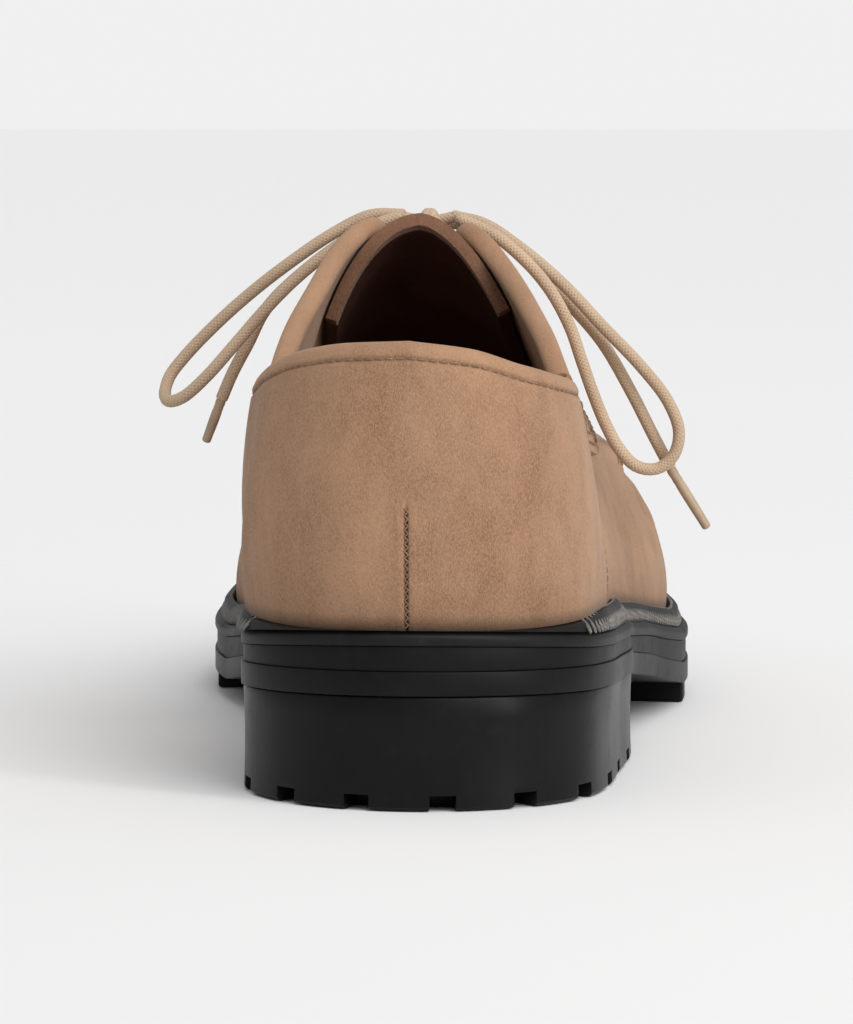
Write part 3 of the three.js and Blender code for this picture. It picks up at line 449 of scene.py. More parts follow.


# Creases and folds. Points are (x, y, z) on or near the surface, then depth and width.
# A negative depth is a ridge.
FOLDS = (
    (((38, -92, 74), (41, -86, 60), (43, -78, 44)), -0.7, 7.0),
    (((36, -101, 72), (38, -96, 58), (40, -90, 46)), 0.55, 4.5),
    (((-30, -112, 78), (-33, -104, 62), (-34, -96, 46)), -0.6, 7.0),
    (((-28, -122, 74), (-31, -118, 58), (-32, -112, 46)), 0.5, 4.5),
    (((45, -66, 58), (46, -58, 46)), 0.5, 5.0),
    (((40, -60, 66), (36, -50, 76)), 0.5, 5.0),
    (((46, 20, 46), (34, 24, 62), (16, 27, 70), (-4, 27, 71), (-22, 23, 66)), 0.75, 3.2),
    (((44, 32, 44), (30, 36, 56), (12, 39, 62), (-8, 38, 62), (-26, 34, 55)), 0.65, 3.0),
    (((42, 26, 50), (26, 31, 62), (6, 33, 67), (-14, 31, 66)), -0.5, 3.0),
    (((50, 10, 40), (46, 22, 50), (38, 32, 52)), 0.5, 4.0),
    (((-42, 12, 46), (-40, 26, 48), (-34, 38, 48)), 0.5, 4.0),
    (((-38, -60, 66), (-42, -48, 52), (-44, -36, 40)), 0.45, 6.0),
)


def near_line(points, line):
    """Distance from each point to a polyline."""
    best = np.full(points.shape[:-1], 1e9)
    for a, b in zip(np.array(line[:-1], float), np.array(line[1:], float)):
        step = b - a
        share = np.clip(((points - a) @ step) / (step @ step), 0, 1)
        best = np.minimum(best, np.linalg.norm(points - (a + share[..., None] * step), axis=-1))
    return best


def relief(points):
    """The folds' height at each point, in millimetres."""
    height = np.zeros(points.shape[:-1])
    for line, depth, width in FOLDS:
        distance = near_line(points, flowing(line, 2.0))
        height -= depth * (bump(distance, width) - 0.35 * bump(distance - 1.9 * width, 0.9 * width))
    return height


def skin(turn, up, offset, extra=None):
    """Points over the last at an offset, with the folds."""
    base = last(turn, up)
    out, _ = facing_out(turn, up)
    height = np.asarray(offset, float) + relief(base)
    if extra is not None:
        height = height + extra
    return base + out * np.broadcast_to(height, base.shape[:-1])[..., None]


SOLVE_STEPS = 34


def solve(test, low, high):
    """Where a rising test crosses 0, for arrays of limits."""
    low, high = np.array(low, float), np.array(high, float)
    for _ in range(SOLVE_STEPS):
        middle = (low + high) / 2
        below = test(middle) < 0
        low, high = np.where(below, middle, low), np.where(below, high, middle)
    return (low + high) / 2


def rolled_edge(turn, outer, squash=1.0):
    """Rows that lead over the upper's edge, from an outer offset round to the lining. squash flattens the
    fold."""
    inner = ROLL_INNER
    top = cut(turn)
    edge = last(turn, top)
    out, higher = facing_out(turn, top)
    fold = relief(edge)
    middle, radius = (outer + inner) / 2, (outer - inner) / 2
    rows = []
    for angle in np.linspace(0, math.pi, ROLL_STEPS)[1:]:
        away = middle + radius * math.cos(angle) + fold
        raised = np.broadcast_to(squash * radius * math.sin(angle), away.shape)
        rows.append(edge + out * away[..., None] + higher * raised[..., None])
    rows.append(edge + out * (inner + fold)[..., None] - higher * ROLL_TUCK)
    return np.array(rows)


# ---------------------------------------------------------------- meshes

def deselect():
    bpy.ops.object.select_all(action="DESELECT")


def activate(piece):
    deselect()
    piece.select_set(True)
    bpy.context.view_layer.objects.active = piece


def settled(piece, name):
    """Names a piece and puts its place into its mesh."""
    piece.name = name
    piece.data.name = name
    activate(piece)
    bpy.ops.object.transform_apply(location=True, rotation=True, scale=True)
    return piece


def in_edit(piece, *steps):
    """Runs edit-mode steps on all of a piece's mesh."""
    activate(piece)
    bpy.ops.object.mode_set(mode="EDIT")
    bpy.ops.mesh.select_all(action="SELECT")
    for step in steps:
        step()
    bpy.ops.object.mode_set(mode="OBJECT")


def merge_doubles(piece, distance=0.02):
    in_edit(piece, lambda: bpy.ops.mesh.remove_doubles(threshold=distance * MM))


def patch(name, points, marks=None, uv=None):
    """A grid laid out on points of shape (rows, columns, 3) in millimetres. marks are named numbers a
    point, for its material; uv is a pair a point."""
    rows, columns = points.shape[:2]
    deselect()
    bpy.ops.mesh.primitive_grid_add(x_subdivisions=columns - 1, y_subdivisions=rows - 1, size=1)
    piece = settled(bpy.context.object, name)
    mesh = piece.data
    mesh.vertices.foreach_set("co", (points * MM).astype(np.float32).ravel())
    for mark, values in (marks or {}).items():
        layer = mesh.attributes.new(mark, "FLOAT", "POINT")
        layer.data.foreach_set("value", np.broadcast_to(values, (rows, columns)).astype(np.float32).ravel())
    if uv is not None:
        corner = np.zeros(len(mesh.loops), np.int32)
        mesh.loops.foreach_get("vertex_index", corner)
        flat = uv.reshape(-1, 2)[corner]
        mesh.uv_layers[0].data.foreach_set("uv", flat.astype(np.float32).ravel())
    mesh.update()
    merge_doubles(piece)
    activate(piece)
    bpy.ops.object.shade_smooth()
    return piece


def modify(piece, kind, **settings):
    """Adds a modifier, sets it and applies it."""
    activate(piece)
    bpy.ops.object.modifier_add(type=kind)
    modifier = piece.modifiers[-1]
    for key, value in settings.items():
        setattr(modifier, key, value)
    bpy.ops.object.modifier_apply(modifier=modifier.name)
    return piece


def thicken(piece, depth, inner=0):
    """Gives a sheet its thickness, on the side away from its faces, with the inner side's material."""
    return modify(piece, "SOLIDIFY", thickness=depth * MM, offset=-1.0, material_offset=inner,
                  material_offset_rim=0)


def round_edges(piece, width, angle=50, segments=3):
    return modify(piece, "BEVEL", width=width * MM, segments=segments, limit_method="ANGLE",
                  angle_limit=math.radians(angle), harden_normals=False)


def joined(name, *pieces):
    """Pieces made into one object."""
    deselect()
    for piece in pieces:
        piece.select_set(True)
    bpy.context.view_layer.objects.active = pieces[0]
    if len(pieces) > 1:
        bpy.ops.object.join()
    return settled(bpy.context.object, name)


def copies(name, pattern, places):
    """One mesh made of a pattern repeated at many places, each a 3x3 matrix and a point in millimetres."""
    base = np.empty(len(pattern.data.vertices) * 3)
    pattern.data.vertices.foreach_get("co", base)
    base = base.reshape(-1, 3)
    faces = [tuple(face.vertices) for face in pattern.data.polygons]
    points, polygons = [], []
    for turn, spot in places:
        start = len(points) * len(base)
        points.append(base @ np.asarray(turn).T + np.asarray(spot) * MM)
        polygons += [tuple(start + v for v in face) for face in faces]
    mesh = bpy.data.meshes.new(name)
    mesh.from_pydata(np.concatenate(points).tolist(), [], polygons)
    mesh.update()
    piece = bpy.data.objects.new(name, mesh)
    bpy.context.scene.collection.objects.link(piece)
    bpy.data.objects.remove(pattern)
    activate(piece)
    bpy.ops.object.shade_smooth()
    return piece


def stitch_pattern(length, radius, arch):
    """One stitch along X: a rounded length of thread that arches towards Z."""
    deselect()
    bpy.ops.mesh.primitive_uv_sphere_add(segments=8, ring_count=8, radius=1, rotation=(0, math.pi / 2, 0))
    piece = settled(bpy.context.object, "stitch")
    for vertex in piece.data.vertices:
        x, y, z = vertex.co
        along = math.copysign(abs(x) ** 0.62, x)
        across = math.sqrt(max(0.0, 1 - abs(x) ** 5))
        size = radius * MM * across / max(math.sqrt(y * y + z * z), 1e-6)
        if across < 1e-3:
            size = 0
        vertex.co = (along * length / 2 * MM, y * size, z * size + arch * MM * (1 - along * along))
    return piece


def frames(ways, outs):
    """Matrices whose columns are along, across and out."""
    ways, outs = unit(ways), np.asarray(outs, float)
    across = unit(np.cross(outs, ways))
    outs = np.cross(ways, across)
    return np.stack([ways, across, outs], -1)


def stitch_row(line, outs):
    """Fine stitches along a line that has a direction out of the surface at each point."""
    both = spread(np.hstack([line, outs]), STITCH_PITCH)
    spots, outs = (both[1:, :3] + both[:-1, :3]) / 2, unit(both[1:, 3:] + both[:-1, 3:])
    bases = frames(np.diff(both[:, :3], axis=0), outs)
    return copies("row", stitch_pattern(STITCH_LENGTH, STITCH_RADIUS, 0.15), list(zip(bases, spots)))


def threads(name, pairs, outs, radius, arch):
    """Stitches of one length each, from point to point."""
    starts, stops = (np.array([pair[k] for pair in pairs], float) for k in (0, 1))
    lengths = np.linalg.norm(stops - starts, axis=1)
    size = float(lengths.mean()) + 2 * radius
    bases = frames(stops - starts, outs)
    return copies(name, stitch_pattern(size, radius, arch), list(zip(bases, (starts + stops) / 2)))


def tube(name, line, radius, sides=12, ends=0.5, shape=None):
    """A round cord along a line of points in millimetres, closed and rounded at its ends, with a UV map
    in metres along it and once round it."""
    line = np.asarray(line, float)
    way = unit(np.gradient(line, axis=0))
    out = unit(np.cross(way[0], (0.31, 0.95, 0.1)))
    outs = []
    for w in way:
        out = unit(out - w * (out @ w))
        outs.append(out)
    outs = np.array(outs)
    side = np.cross(way, outs)
    run = np.concatenate([[0], np.cumsum(np.linalg.norm(np.diff(line, axis=0), axis=1))])
    radii = np.full(len(line), float(radius))
    if shape is not None:
        radii = radii * shape(run / run[-1])
    caps = np.array([0.0, 0.55, 0.85])
    first, final = radii[0], radii[-1]
    centres = [line[0] - way[0] * first * ends * math.sqrt(1 - c * c) for c in caps]
    centres += list(line) + [line[-1] + way[-1] * final * ends * math.sqrt(1 - c * c) for c in caps[::-1]]
    sizes = np.concatenate([first * caps, radii, final * caps[::-1]])
    pick = np.clip(np.arange(len(sizes)) - len(caps), 0, len(line) - 1)
    angles = np.linspace(0, 2 * math.pi, sides + 1)
    ring = outs[pick][:, None] * np.cos(angles)[:, None] + side[pick][:, None] * np.sin(angles)[:, None]
    points = np.array(centres)[:, None] + ring * sizes[:, None, None]
    uv = np.stack(np.broadcast_arrays(run[pick][:, None] * MM, angles / (2 * math.pi)), -1)
    piece = patch(name, points[:, ::-1], uv=uv[:, ::-1])
    return piece


# ---------------------------------------------------------------- materials

class Surface:
    """A material and its nodes, with short names for what they all use."""

    def __init__(self, name, roughness, **constants):
        self.material = bpy.data.materials.new(name)
        self.material.use_nodes = True
        self.tree = self.material.node_tree
        self.shader = self.tree.nodes["Principled BSDF"]
        self.shader.inputs["Roughness"].default_value = roughness
        for socket, value in constants.items():
            self.shader.inputs[socket.replace("_", " ")].default_value = value
        self.coordinates = self.tree.nodes.new("ShaderNodeTexCoord")

    def node(self, kind, settings=(), **inputs):
        node = self.tree.nodes.new(kind)
        for key, value in dict(settings).items():
            setattr(node, key, value)
        for socket, value in inputs.items():
            self.put(node.inputs[socket.replace("_", " ")], value)
        return node

    def put(self, socket, value):
        if isinstance(value, bpy.types.NodeSocket):
            self.tree.links.new(value, socket)
        else:
            socket.default_value = value

    def place(self, scale=(1, 1, 1), turn=(0, 0, 0), source="Object"):
        mapping = self.node("ShaderNodeMapping", Scale=scale, Rotation=turn)
        self.put(mapping.inputs["Vector"], self.coordinates.outputs[source])
        return mapping.outputs["Vector"]

    def noise(self, scale, detail=3.0, rough=0.55, at=None):
        at = self.coordinates.outputs["Object"] if at is None else at
        node = self.node("ShaderNodeTexNoise", Vector=at, Scale=scale, Detail=detail, Roughness=rough)
        return node.outputs["Fac"]

    def wave(self, scale, at, distortion=0.0):
        node = self.node("ShaderNodeTexWave", Vector=at, Scale=scale, Distortion=distortion)
        return node.outputs["Fac"]

    def ramp(self, value, *stops):
        node = self.node("ShaderNodeValToRGB", Fac=value)
        elements = node.color_ramp.elements
        while len(elements) < len(stops):
            elements.new(0.5)
        for element, (place, colour) in zip(elements, stops):
            element.position = place
            element.color = (*colour, 1) if len(colour) == 3 else colour
        return node.outputs["Color"]

    def level(self, value, low, high, from_low=0.0, from_high=1.0):
        node = self.node("ShaderNodeMapRange", Value=value)
        for socket, number in (("From Min", from_low), ("From Max", from_high), ("To Min", low),
                               ("To Max", high)):
            node.inputs[socket].default_value = number
        return node.outputs["Result"]

    def math(self, operation, first, second=0.0):
        node = self.tree.nodes.new("ShaderNodeMath")
        node.operation = operation
        self.put(node.inputs[0], first)
        self.put(node.inputs[1], second)
        return node.outputs[0]

    def blend(self, share, first, second, kind="MIX"):
        node = self.tree.nodes.new("ShaderNodeMix")
        node.data_type = "RGBA"
        node.blend_type = kind
        self.put(node.inputs["Factor"], share)
        for socket, value in (("A", first), ("B", second)):
            picked = [s for s in node.inputs if s.name == socket and s.type == "RGBA"][0]
            self.put(picked, (*value, 1) if isinstance(value, tuple) and len(value) == 3 else value)
        return [s for s in node.outputs if s.type == "RGBA"][0]

    def mark(self, name):
        return self.node("ShaderNodeAttribute", {"attribute_name": name}).outputs["Fac"]

    def colour(self, value):
        self.put(self.shader.inputs["Base Color"], (*value, 1) if isinstance(value, tuple) else value)

    def roughness(self, value):
        self.put(self.shader.inputs["Roughness"], value)

    def bumps(self, *layers):
        """Bump from (height, distance in millimetres, strength), the coarsest first."""
        normal = None
        for height, distance, strength in layers:
            node = self.node("ShaderNodeBump", Height=height, Distance=distance * MM, Strength=strength)
            if normal is not None:
                self.put(node.inputs["Normal"], normal)
            normal = node.outputs["Normal"]
        self.put(self.shader.inputs["Normal"], normal)


def rgb(value):
    return tuple(value)[:3]


def scaled(colour, factor):
    return tuple(min(1.0, c * factor) for c in rgb(colour))


def tinted(colour, factors):
    return tuple(min(1.0, c * f) for c, f in zip(rgb(colour), factors))


MADE = {}


def once(make):
    """Lets a material be made the first time its name is asked for, and be found after that."""
    def material(name, *settings):
        if name not in MADE:
            MADE[name] = make(name, *settings)
        return MADE[name]

    return material


@once
def suede(name, tone, factor=1.0):
    """Brushed suede: cloudy tone, short nap and a soft sheen. The mark `shade` darkens it and `rub`
    lightens it."""
    s = Surface(name, 0.94, Sheen_Weight=0.22, Sheen_Roughness=0.45, Specular_IOR_Level=0.18)
    s.shader.inputs["Sheen Tint"].default_value = (1.0, 0.86, 0.72, 1)
    clouds = s.noise(46, 4, 0.6, s.place((1, 1, 0.7)))
    brushed = s.noise(150, 3, 0.6, s.place((1.3, 1.3, 0.5), (0.35, 0.2, 0)))
    grain = s.noise(1100, 3, 0.7)
    fibres = s.noise(4200, 2, 0.7, s.place((1, 1, 0.45), (0.2, 0.3, 0.1)))
    amount = s.math("ADD", s.math("MULTIPLY", clouds, 0.55), s.math("MULTIPLY", brushed, 0.30))
    amount = s.math("ADD", amount, s.math("MULTIPLY", grain, 0.22))
    deep = tinted(tone, (0.74 * factor, 0.68 * factor, 0.64 * factor))
    base = s.ramp(amount, (0.40, deep), (0.54, scaled(tone, factor)), (0.67, scaled(tone, 1.26 * factor)))
    flecked = s.blend(s.level(fibres, 0.0, 0.50, 0.40, 0.62), base, scaled(tone, 1.65 * factor))
    rubbed = s.blend(s.math("MULTIPLY", s.mark("rub"), 0.55), flecked, scaled(tone, 1.5 * factor))
    shaded = s.blend(s.math("MULTIPLY", s.mark("shade"), 0.80), rubbed, scaled(tone, 0.26 * factor))
    s.colour(shaded)
    s.roughness(s.level(clouds, 0.88, 1.0))
    s.bumps((brushed, 0.55, 0.35), (grain, 0.30, 0.45), (fibres, 0.16, 0.7))
    return s.material


@once
def rubber(name, tone, gloss, streaks=0.0, scuffs=1.0):
    """Moulded black rubber with a satin skin, faint buffing lines and dusty scuffs."""
    s = Surface(name, gloss, Specular_IOR_Level=0.15)
    clouds = s.noise(60, 4, 0.6)
    fine = s.noise(1400, 3, 0.6)
    lines = s.noise(700, 2, 0.6, s.place((1, 1, 0.03)))
    dust = s.ramp(s.noise(240, 5, 0.72), (0.56, (0, 0, 0)), (0.74, (1, 1, 1)))
    base = s.blend(s.level(clouds, 0, 1, 0.35, 0.7), scaled(tone, 0.8), scaled(tone, 1.35))
    s.colour(s.blend(s.math("MULTIPLY", dust, 0.10 * scuffs), base, scaled(tone, 7.0)))
    worn = s.math("MULTIPLY", dust, 0.12 * scuffs)
    wear = s.math("ADD", s.level(clouds, gloss - 0.06, gloss + 0.10), worn)
    s.roughness(wear)
    s.bumps((clouds, 0.25, 0.10), (lines, 0.10, streaks), (fine, 0.05, 0.30))
    return s.material


@once
def leather(name, tone, gloss, pores=1.0):
    """Smooth lining or sock leather with fine pores and a waxed skin."""
    s = Surface(name, gloss, Specular_IOR_Level=0.35, Coat_Weight=0.05, Coat_Roughness=0.4)
    clouds = s.noise(70, 4, 0.6)
    cells = s.node("ShaderNodeTexVoronoi", Vector=s.coordinates.outputs["Object"], Scale=1500.0)
    fine = s.noise(2400, 2, 0.6)
    s.colour(s.blend(s.level(clouds, 0, 1, 0.3, 0.7), scaled(tone, 0.66), scaled(tone, 1.3)))
    s.roughness(s.level(clouds, gloss - 0.08, gloss + 0.12))
    s.bumps((clouds, 0.4, 0.2), (cells.outputs["Distance"], 0.10, 0.5 * pores), (fine, 0.05, 0.4))
    return s.material


# Scales of the two slanted waves of the weave: strands of about 0.9 mm, eight of them round the lace
BRAID_ALONG = 494
BRAID_AROUND = 8 * 2 * math.pi / (20 * math.cos(math.pi / 4))


@once
def braid(name, tone):
    """Woven lace: two sets of strands that cross, along the piece's UV map."""
    s = Surface(name, 0.82, Sheen_Weight=0.15, Sheen_Roughness=0.5, Specular_IOR_Level=0.25)
    left = s.wave(1.0, s.place((BRAID_ALONG, BRAID_AROUND, 1), (0, 0, math.pi / 4), "UV"))
    right = s.wave(1.0, s.place((BRAID_ALONG, BRAID_AROUND, 1), (0, 0, -math.pi / 4), "UV"))
    strands = s.math("MAXIMUM", left, right)
    fuzz = s.noise(3800, 2, 0.7)
    clouds = s.noise(90, 3, 0.6)
    base = s.blend(s.level(clouds, 0, 1, 0.3, 0.7), scaled(tone, 0.88), scaled(tone, 1.10))
    # Painted shade: the colour darkens in the grooves between the strands
    deep = s.blend(s.level(strands, 0.5, 0.0, 0.2, 0.9), base, scaled(tone, 0.5))
    s.colour(s.blend(s.level(fuzz, 0, 0.4, 0.4, 0.7), deep, scaled(tone, 1.35)))
    s.bumps((strands, 0.16, 0.7), (fuzz, 0.06, 0.5))
    return s.material


@once
def thread(name, tone, gloss=0.6):
    """Twisted sewing thread."""
    s = Surface(name, gloss, Specular_IOR_Level=0.3)
    twist = s.wave(900.0, s.place((1, 1, 1), (0.6, 0.6, 0.7)), 1.5)
    clouds = s.noise(260, 3, 0.6)
    base = s.blend(s.level(clouds, 0, 1, 0.3, 0.7), scaled(tone, 0.7), scaled(tone, 1.25))
    s.colour(s.blend(s.level(twist, 0, 0.5), base, scaled(tone, 0.5)))
    s.bumps((twist, 0.08, 0.6))
    return s.material


def dress(piece, slot, *materials):
    """Gives a piece its materials, and lets it ride. The slot is not used."""
    piece.data.materials.clear()
    for material in materials:
        piece.data.materials.append(material)
    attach(piece, "root")
    return piece


# ---------------------------------------------------------------- the sole's pieces

def ring(step, near=()):
    """Turns all round the shoe, from the toe's tip back to it, evenly spaced along the foot, with more at
    the shares of half a ring that `near` names."""
    t = np.linspace(0, 1, 1600)
    _, _, start, way = fan(t[:-1])
    line = start + way * reach(FOOT, start, way)[:, None]
    line = np.vstack([line, line[-1:]])
    run = np.concatenate([[0], np.cumsum(np.linalg.norm(np.diff(line, axis=0), axis=1))])
    half = np.interp(np.linspace(0, run[-1], int(run[-1] / step) + 1), run, t)
    half[0], half[-1] = 0, 1
    extra = np.array([n for n in near if np.abs(half - n).min() > 1e-4])
    half = np.unique(np.concatenate([half, extra]))
    return np.concatenate([-half[::-1], half[1:]])


# Shares of the way out at which a layer's flat faces are divided
CAPS = (0.0, 0.25, 0.5, 0.72, 0.88)


def slab(name, turns, outline, bottom, top, low, high):
    """A layer of the sole: its outline between two heights, with edges rounded by low and high."""
    _, _, start, way = fan(turns)
    far = reach(outline, start, way)

    def row(run, height, lift):
        xy = start + way * run[:, None]
        return np.column_stack([xy, height(xy[:, 1]) + lift])

    rows = [row(far * cap, bottom, 0) for cap in CAPS]
    for angle in np.linspace(0, math.pi / 2, 4):
        rows.append(row(far - low * (1 - math.sin(angle)), bottom, low * (1 - math.cos(angle))))
    for angle in np.linspace(0, math.pi / 2, 4):
        rows.append(row(far - high * (1 - math.cos(angle)), top, -high * (1 - math.sin(angle))))
    rows += [row(far * cap, top, 0) for cap in reversed(CAPS)]
    return patch(name, np.array(rows))


def prism(points, bottom, top):
    """Corners and faces of a block with an anticlockwise plan."""
    n = len(points)
    low = [(x, y, bottom(y)) for x, y in points]
    high = [(x, y, top(y)) for x, y in points]
    sides = [(i, (i + 1) % n, n + (i + 1) % n, n + i) for i in range(n)]
    return low + high, [tuple(range(n))[::-1], tuple(range(n, 2 * n))] + sides


def blocks(name, plans, bottom, top):
    """Blocks joined in one piece."""
    points, faces = [], []
    for plan in plans:
        area = sum(a[0] * b[1] - b[0] * a[1] for a, b in zip(plan, plan[1:] + plan[:1]))
        corners, sides = prism(plan if area > 0 else plan[::-1], bottom, top)
        faces += [tuple(len(points) + k for k in side) for side in sides]
        points += corners
    mesh = bpy.data.meshes.new(name)
    mesh.from_pydata((np.array(points) * MM).tolist(), [], faces)
    piece = bpy.data.objects.new(name, mesh)
    bpy.context.scene.collection.objects.link(piece)
    return piece


def lug_plans():
    """Plans of the forepart's lugs: a row round the edge and chevrons along the middle."""
    edge, inner = inset(RIM, LUG_STEP), inset(RIM, LUG_DEPTH)
    begin = np.where(edge[:, 0] > 0, LUG_START_LATERAL, LUG_START_MEDIAL)
    fore = np.flatnonzero(edge[:, 1] > along_y(begin))
    spacing = np.linalg.norm(RIM[0] - RIM[1])
    long, gap = max(2, round(LUG_LENGTH / spacing)), max(1, round(LUG_GAP / spacing))
    plans, i = [], fore[0]
    while i + long <= fore[-1]:
        rim_side = [tuple(edge[k]) for k in range(i + long, i - 1, -1)]
        plans.append([tuple(inner[i]), tuple(inner[i + long])] + rim_side)
        i += long + gap
    y = along_y(LUG_START_MEDIAL) + LUG_LENGTH
    while y < RIM[:, 1].max() - 2.2 * LUG_DEPTH:
        ahead, behind = np.array([[1.0, 0.0]]), np.array([[-1.0, 0.0]])
        right = reach(inner, np.array([[0.0, y]]), ahead)[0]
        left = reach(inner, np.array([[0.0, y]]), behind)[0]
        middle, half = (right - left) / 2, (right + left) / 2 - LUG_GAP
        if half >= LUG_GAP / 2:
            near, far, lean = y - LUG_LENGTH / 2, y + LUG_LENGTH / 2, LUG_GAP / 2
            plans.append([(middle, near), (middle + half, near + lean), (middle + half, far),
                          (middle, far - lean), (middle - half, far), (middle - half, near + lean)])
        y += LUG_LENGTH + LUG_GAP
    return plans


def heel_outline():
    """The heel's plan: the rim's step in, cut straight across at the breast."""
    outline = inset(RIM, HEEL_STEP)
    breast = HEEL_LENGTH - SOLE_LENGTH / 2
    back = outline[outline[:, 1] < breast]
    order = np.argsort(np.arctan2(back[:, 1] - breast, back[:, 0]))
    back = back[order]
    right = np.array([back[-1, 0] + 0.1, breast])
    left = np.array([back[0, 0] - 0.1, breast])
    line = spread(np.vstack([left, back, right]), 1.2)
    across = np.linspace(right, left, 48)[1:-1]
    return np.vstack([line, across])


def make_heel():
    plan = heel_outline()
    centre = plan.mean(0)

    def row(shrink, height, lift):
        if shrink < 1:
            xy = centre + (plan - centre) * (1 - shrink)
        else:
            xy = centre + (plan - centre) * 0.001
        return np.column_stack([xy, height(xy[:, 1]) + lift])

    def top(y):
        return body_bottom(y) - GAP

    def floor(y):
        return 0 * y

    rows = [row(s, floor, 0) for s in (1, 0.7, 0.35, 0.1)]
    rows += [row(0.02, floor, 0.0), row(0.008, floor, 0.25), row(0.0, floor, 0.7)]
    for share in (0.2, 0.4, 0.6, 0.8):
        base = row(0.0, floor, 0)
        base[:, 2] = share * top(plan[:, 1])
        base[:, :2] = centre + (plan - centre) * (1 - 0.006 * math.sin(share * math.pi))
        rows.append(base)
    rows += [row(0.0, top, -0.7), row(0.006, top, -0.2), row(0.016, top, 0)]
    rows += [row(s, top, 0) for s in (0.1, 0.35, 0.7, 1)]
    rows = np.array(rows)
    piece = patch("heel_block", np.concatenate([rows, rows[:, :1]], 1))
    merge_doubles(piece, 0.3)
    cutters = []
    quarter = HEEL_RADIUS * math.pi / 2
    most = int((quarter + HEEL_LENGTH - HEEL_RADIUS - NOTCH_WIDTH) / NOTCH_PITCH - 0.5)
    for side in (-1, 1):
        for k in range(most + 1):
            run = (k + 0.5) * NOTCH_PITCH
            angle = min(run / HEEL_RADIUS, math.pi / 2)
            forward = -HEEL_RADIUS * math.cos(angle) if run <= quarter else run - quarter
            spot = heel_point(side * HEEL_RADIUS * math.sin(angle), forward)
            turn = math.atan2(-math.cos(angle), side * math.sin(angle)) - HEEL_TURN
            deselect()
            bpy.ops.mesh.primitive_cube_add(
                size=1, location=(spot[0] * MM, spot[1] * MM, 0), rotation=(0, 0, turn),
                scale=(2 * NOTCH_DEPTH * MM, NOTCH_WIDTH * MM, 2 * NOTCH_HEIGHT * MM))
            cutters.append(settled(bpy.context.object, "notch"))
    for cutter in cutters:
        modify(piece, "BOOLEAN", operation="DIFFERENCE", object=cutter, solver="EXACT")
    for cutter in cutters:
        bpy.data.objects.remove(cutter)
    round_edges(piece, 0.35, 55, 2)
    activate(piece)
    bpy.ops.object.shade_smooth_by_angle(angle=math.radians(35))
    return piece


def level_on_wall(turns, z):
    """How far up the last's side a height lies."""
    return solve(lambda up: last(turns, up)[..., 2] - z, 0 * turns, 0 * turns + 0.5)


def on_wall(turns, height, offset):
    """Points beside the upper, at a height function of y, standing off it by an offset."""
    y = last(turns, 0 * turns)[:, 1]
    for _ in range(2):
        up = level_on_wall(turns, height(y))
        y = last(turns, up)[:, 1]
    points = skin(turns, up, offset)
    points[:, 2] = height(points[:, 1])
    return points


def rib(share):
    """A height on the welt's rib, from its foot (0) to its top (1)."""
    return lambda y: welt_top(y) + share * np.maximum(rib_top(y) - welt_top(y), 0.05)


def make_welt(turns):
    _, _, start, way = fan(turns)
    far, near = reach(RIM, start, way), reach(FOOT, start, way)

    def row(run, height, lift):
        xy = start + way * run[:, None]
        return np.column_stack([xy, height(xy[:, 1]) + lift])

    rows = [row(near + 0.35, foot_height, 0)]
    rows += [row(far - step, foot_height, lift) for step, lift in ((0.5, 0), (0.12, 0.12), (0.0, 0.5))]
    rows += [row(far - step, welt_top, lift) for step, lift in ((0.0, -1.5), (0.10, -1.1), (0.75, -0.40),
                                                                (1.2, -0.12), (1.7, 0))]
    for share, offset in ((0.0, 3.9), (0.15, 3.5), (0.5, 3.25), (0.8, 2.85), (0.95, 2.3), (1.0, 1.7),
                          (0.97, 1.0), (0.85, 0.5), (0.5, 0.35)):
        rows.append(on_wall(turns, rib(share), offset))
    rows.append(rows[0])
    return patch("welt_strip", np.array(rows))


def make_welt_stitches(turns, pitch, radius):
    """Heavy slanted stitches over the rib, where it stands up."""
    inner = on_wall(turns, rib(0.96), 1.1)
    outer = on_wall(turns, rib(0.12), 3.75)
    tall = rib_top(inner[:, 1]) - welt_top(inner[:, 1]) > 2.2
    runs, groups = np.flatnonzero(tall), []
    for group in np.split(runs, np.flatnonzero(np.diff(runs) > 1) + 1):
        both = spread(np.hstack([inner[group], outer[group]]), pitch / 2 * math.sqrt(2))
        groups.append(both)
    pairs, outs = [], []
    for both in groups:
        for i in range(0, len(both) - 1, 2):
            a, b = both[i + 1, :3], both[i, 3:]
            pairs.append((a, b))
            side = b - a
            along = both[min(i + 1, len(both) - 1), :3] - both[i, :3]
            out = np.cross(along, side)
            outs.append(out / np.linalg.norm(out) * (1 if out[2] > 0 else -1))
    return threads("welt_stitches", pairs, np.array(outs), radius, 0.45)


# ---------------------------------------------------------------- the upper's pieces

def foot_shade(points, outer):
    """Painted shade: darker towards the sole, most of all just over the welt's rib, where the upper meets
    it.
    """
    over = points[..., 2] - rib_top(points[..., 1])
    return 0.75 * (1 - smooth(over, 0.2, 3.4)) + 0.25 * (1 - smooth(over, 0.0, 12.0)) + outer


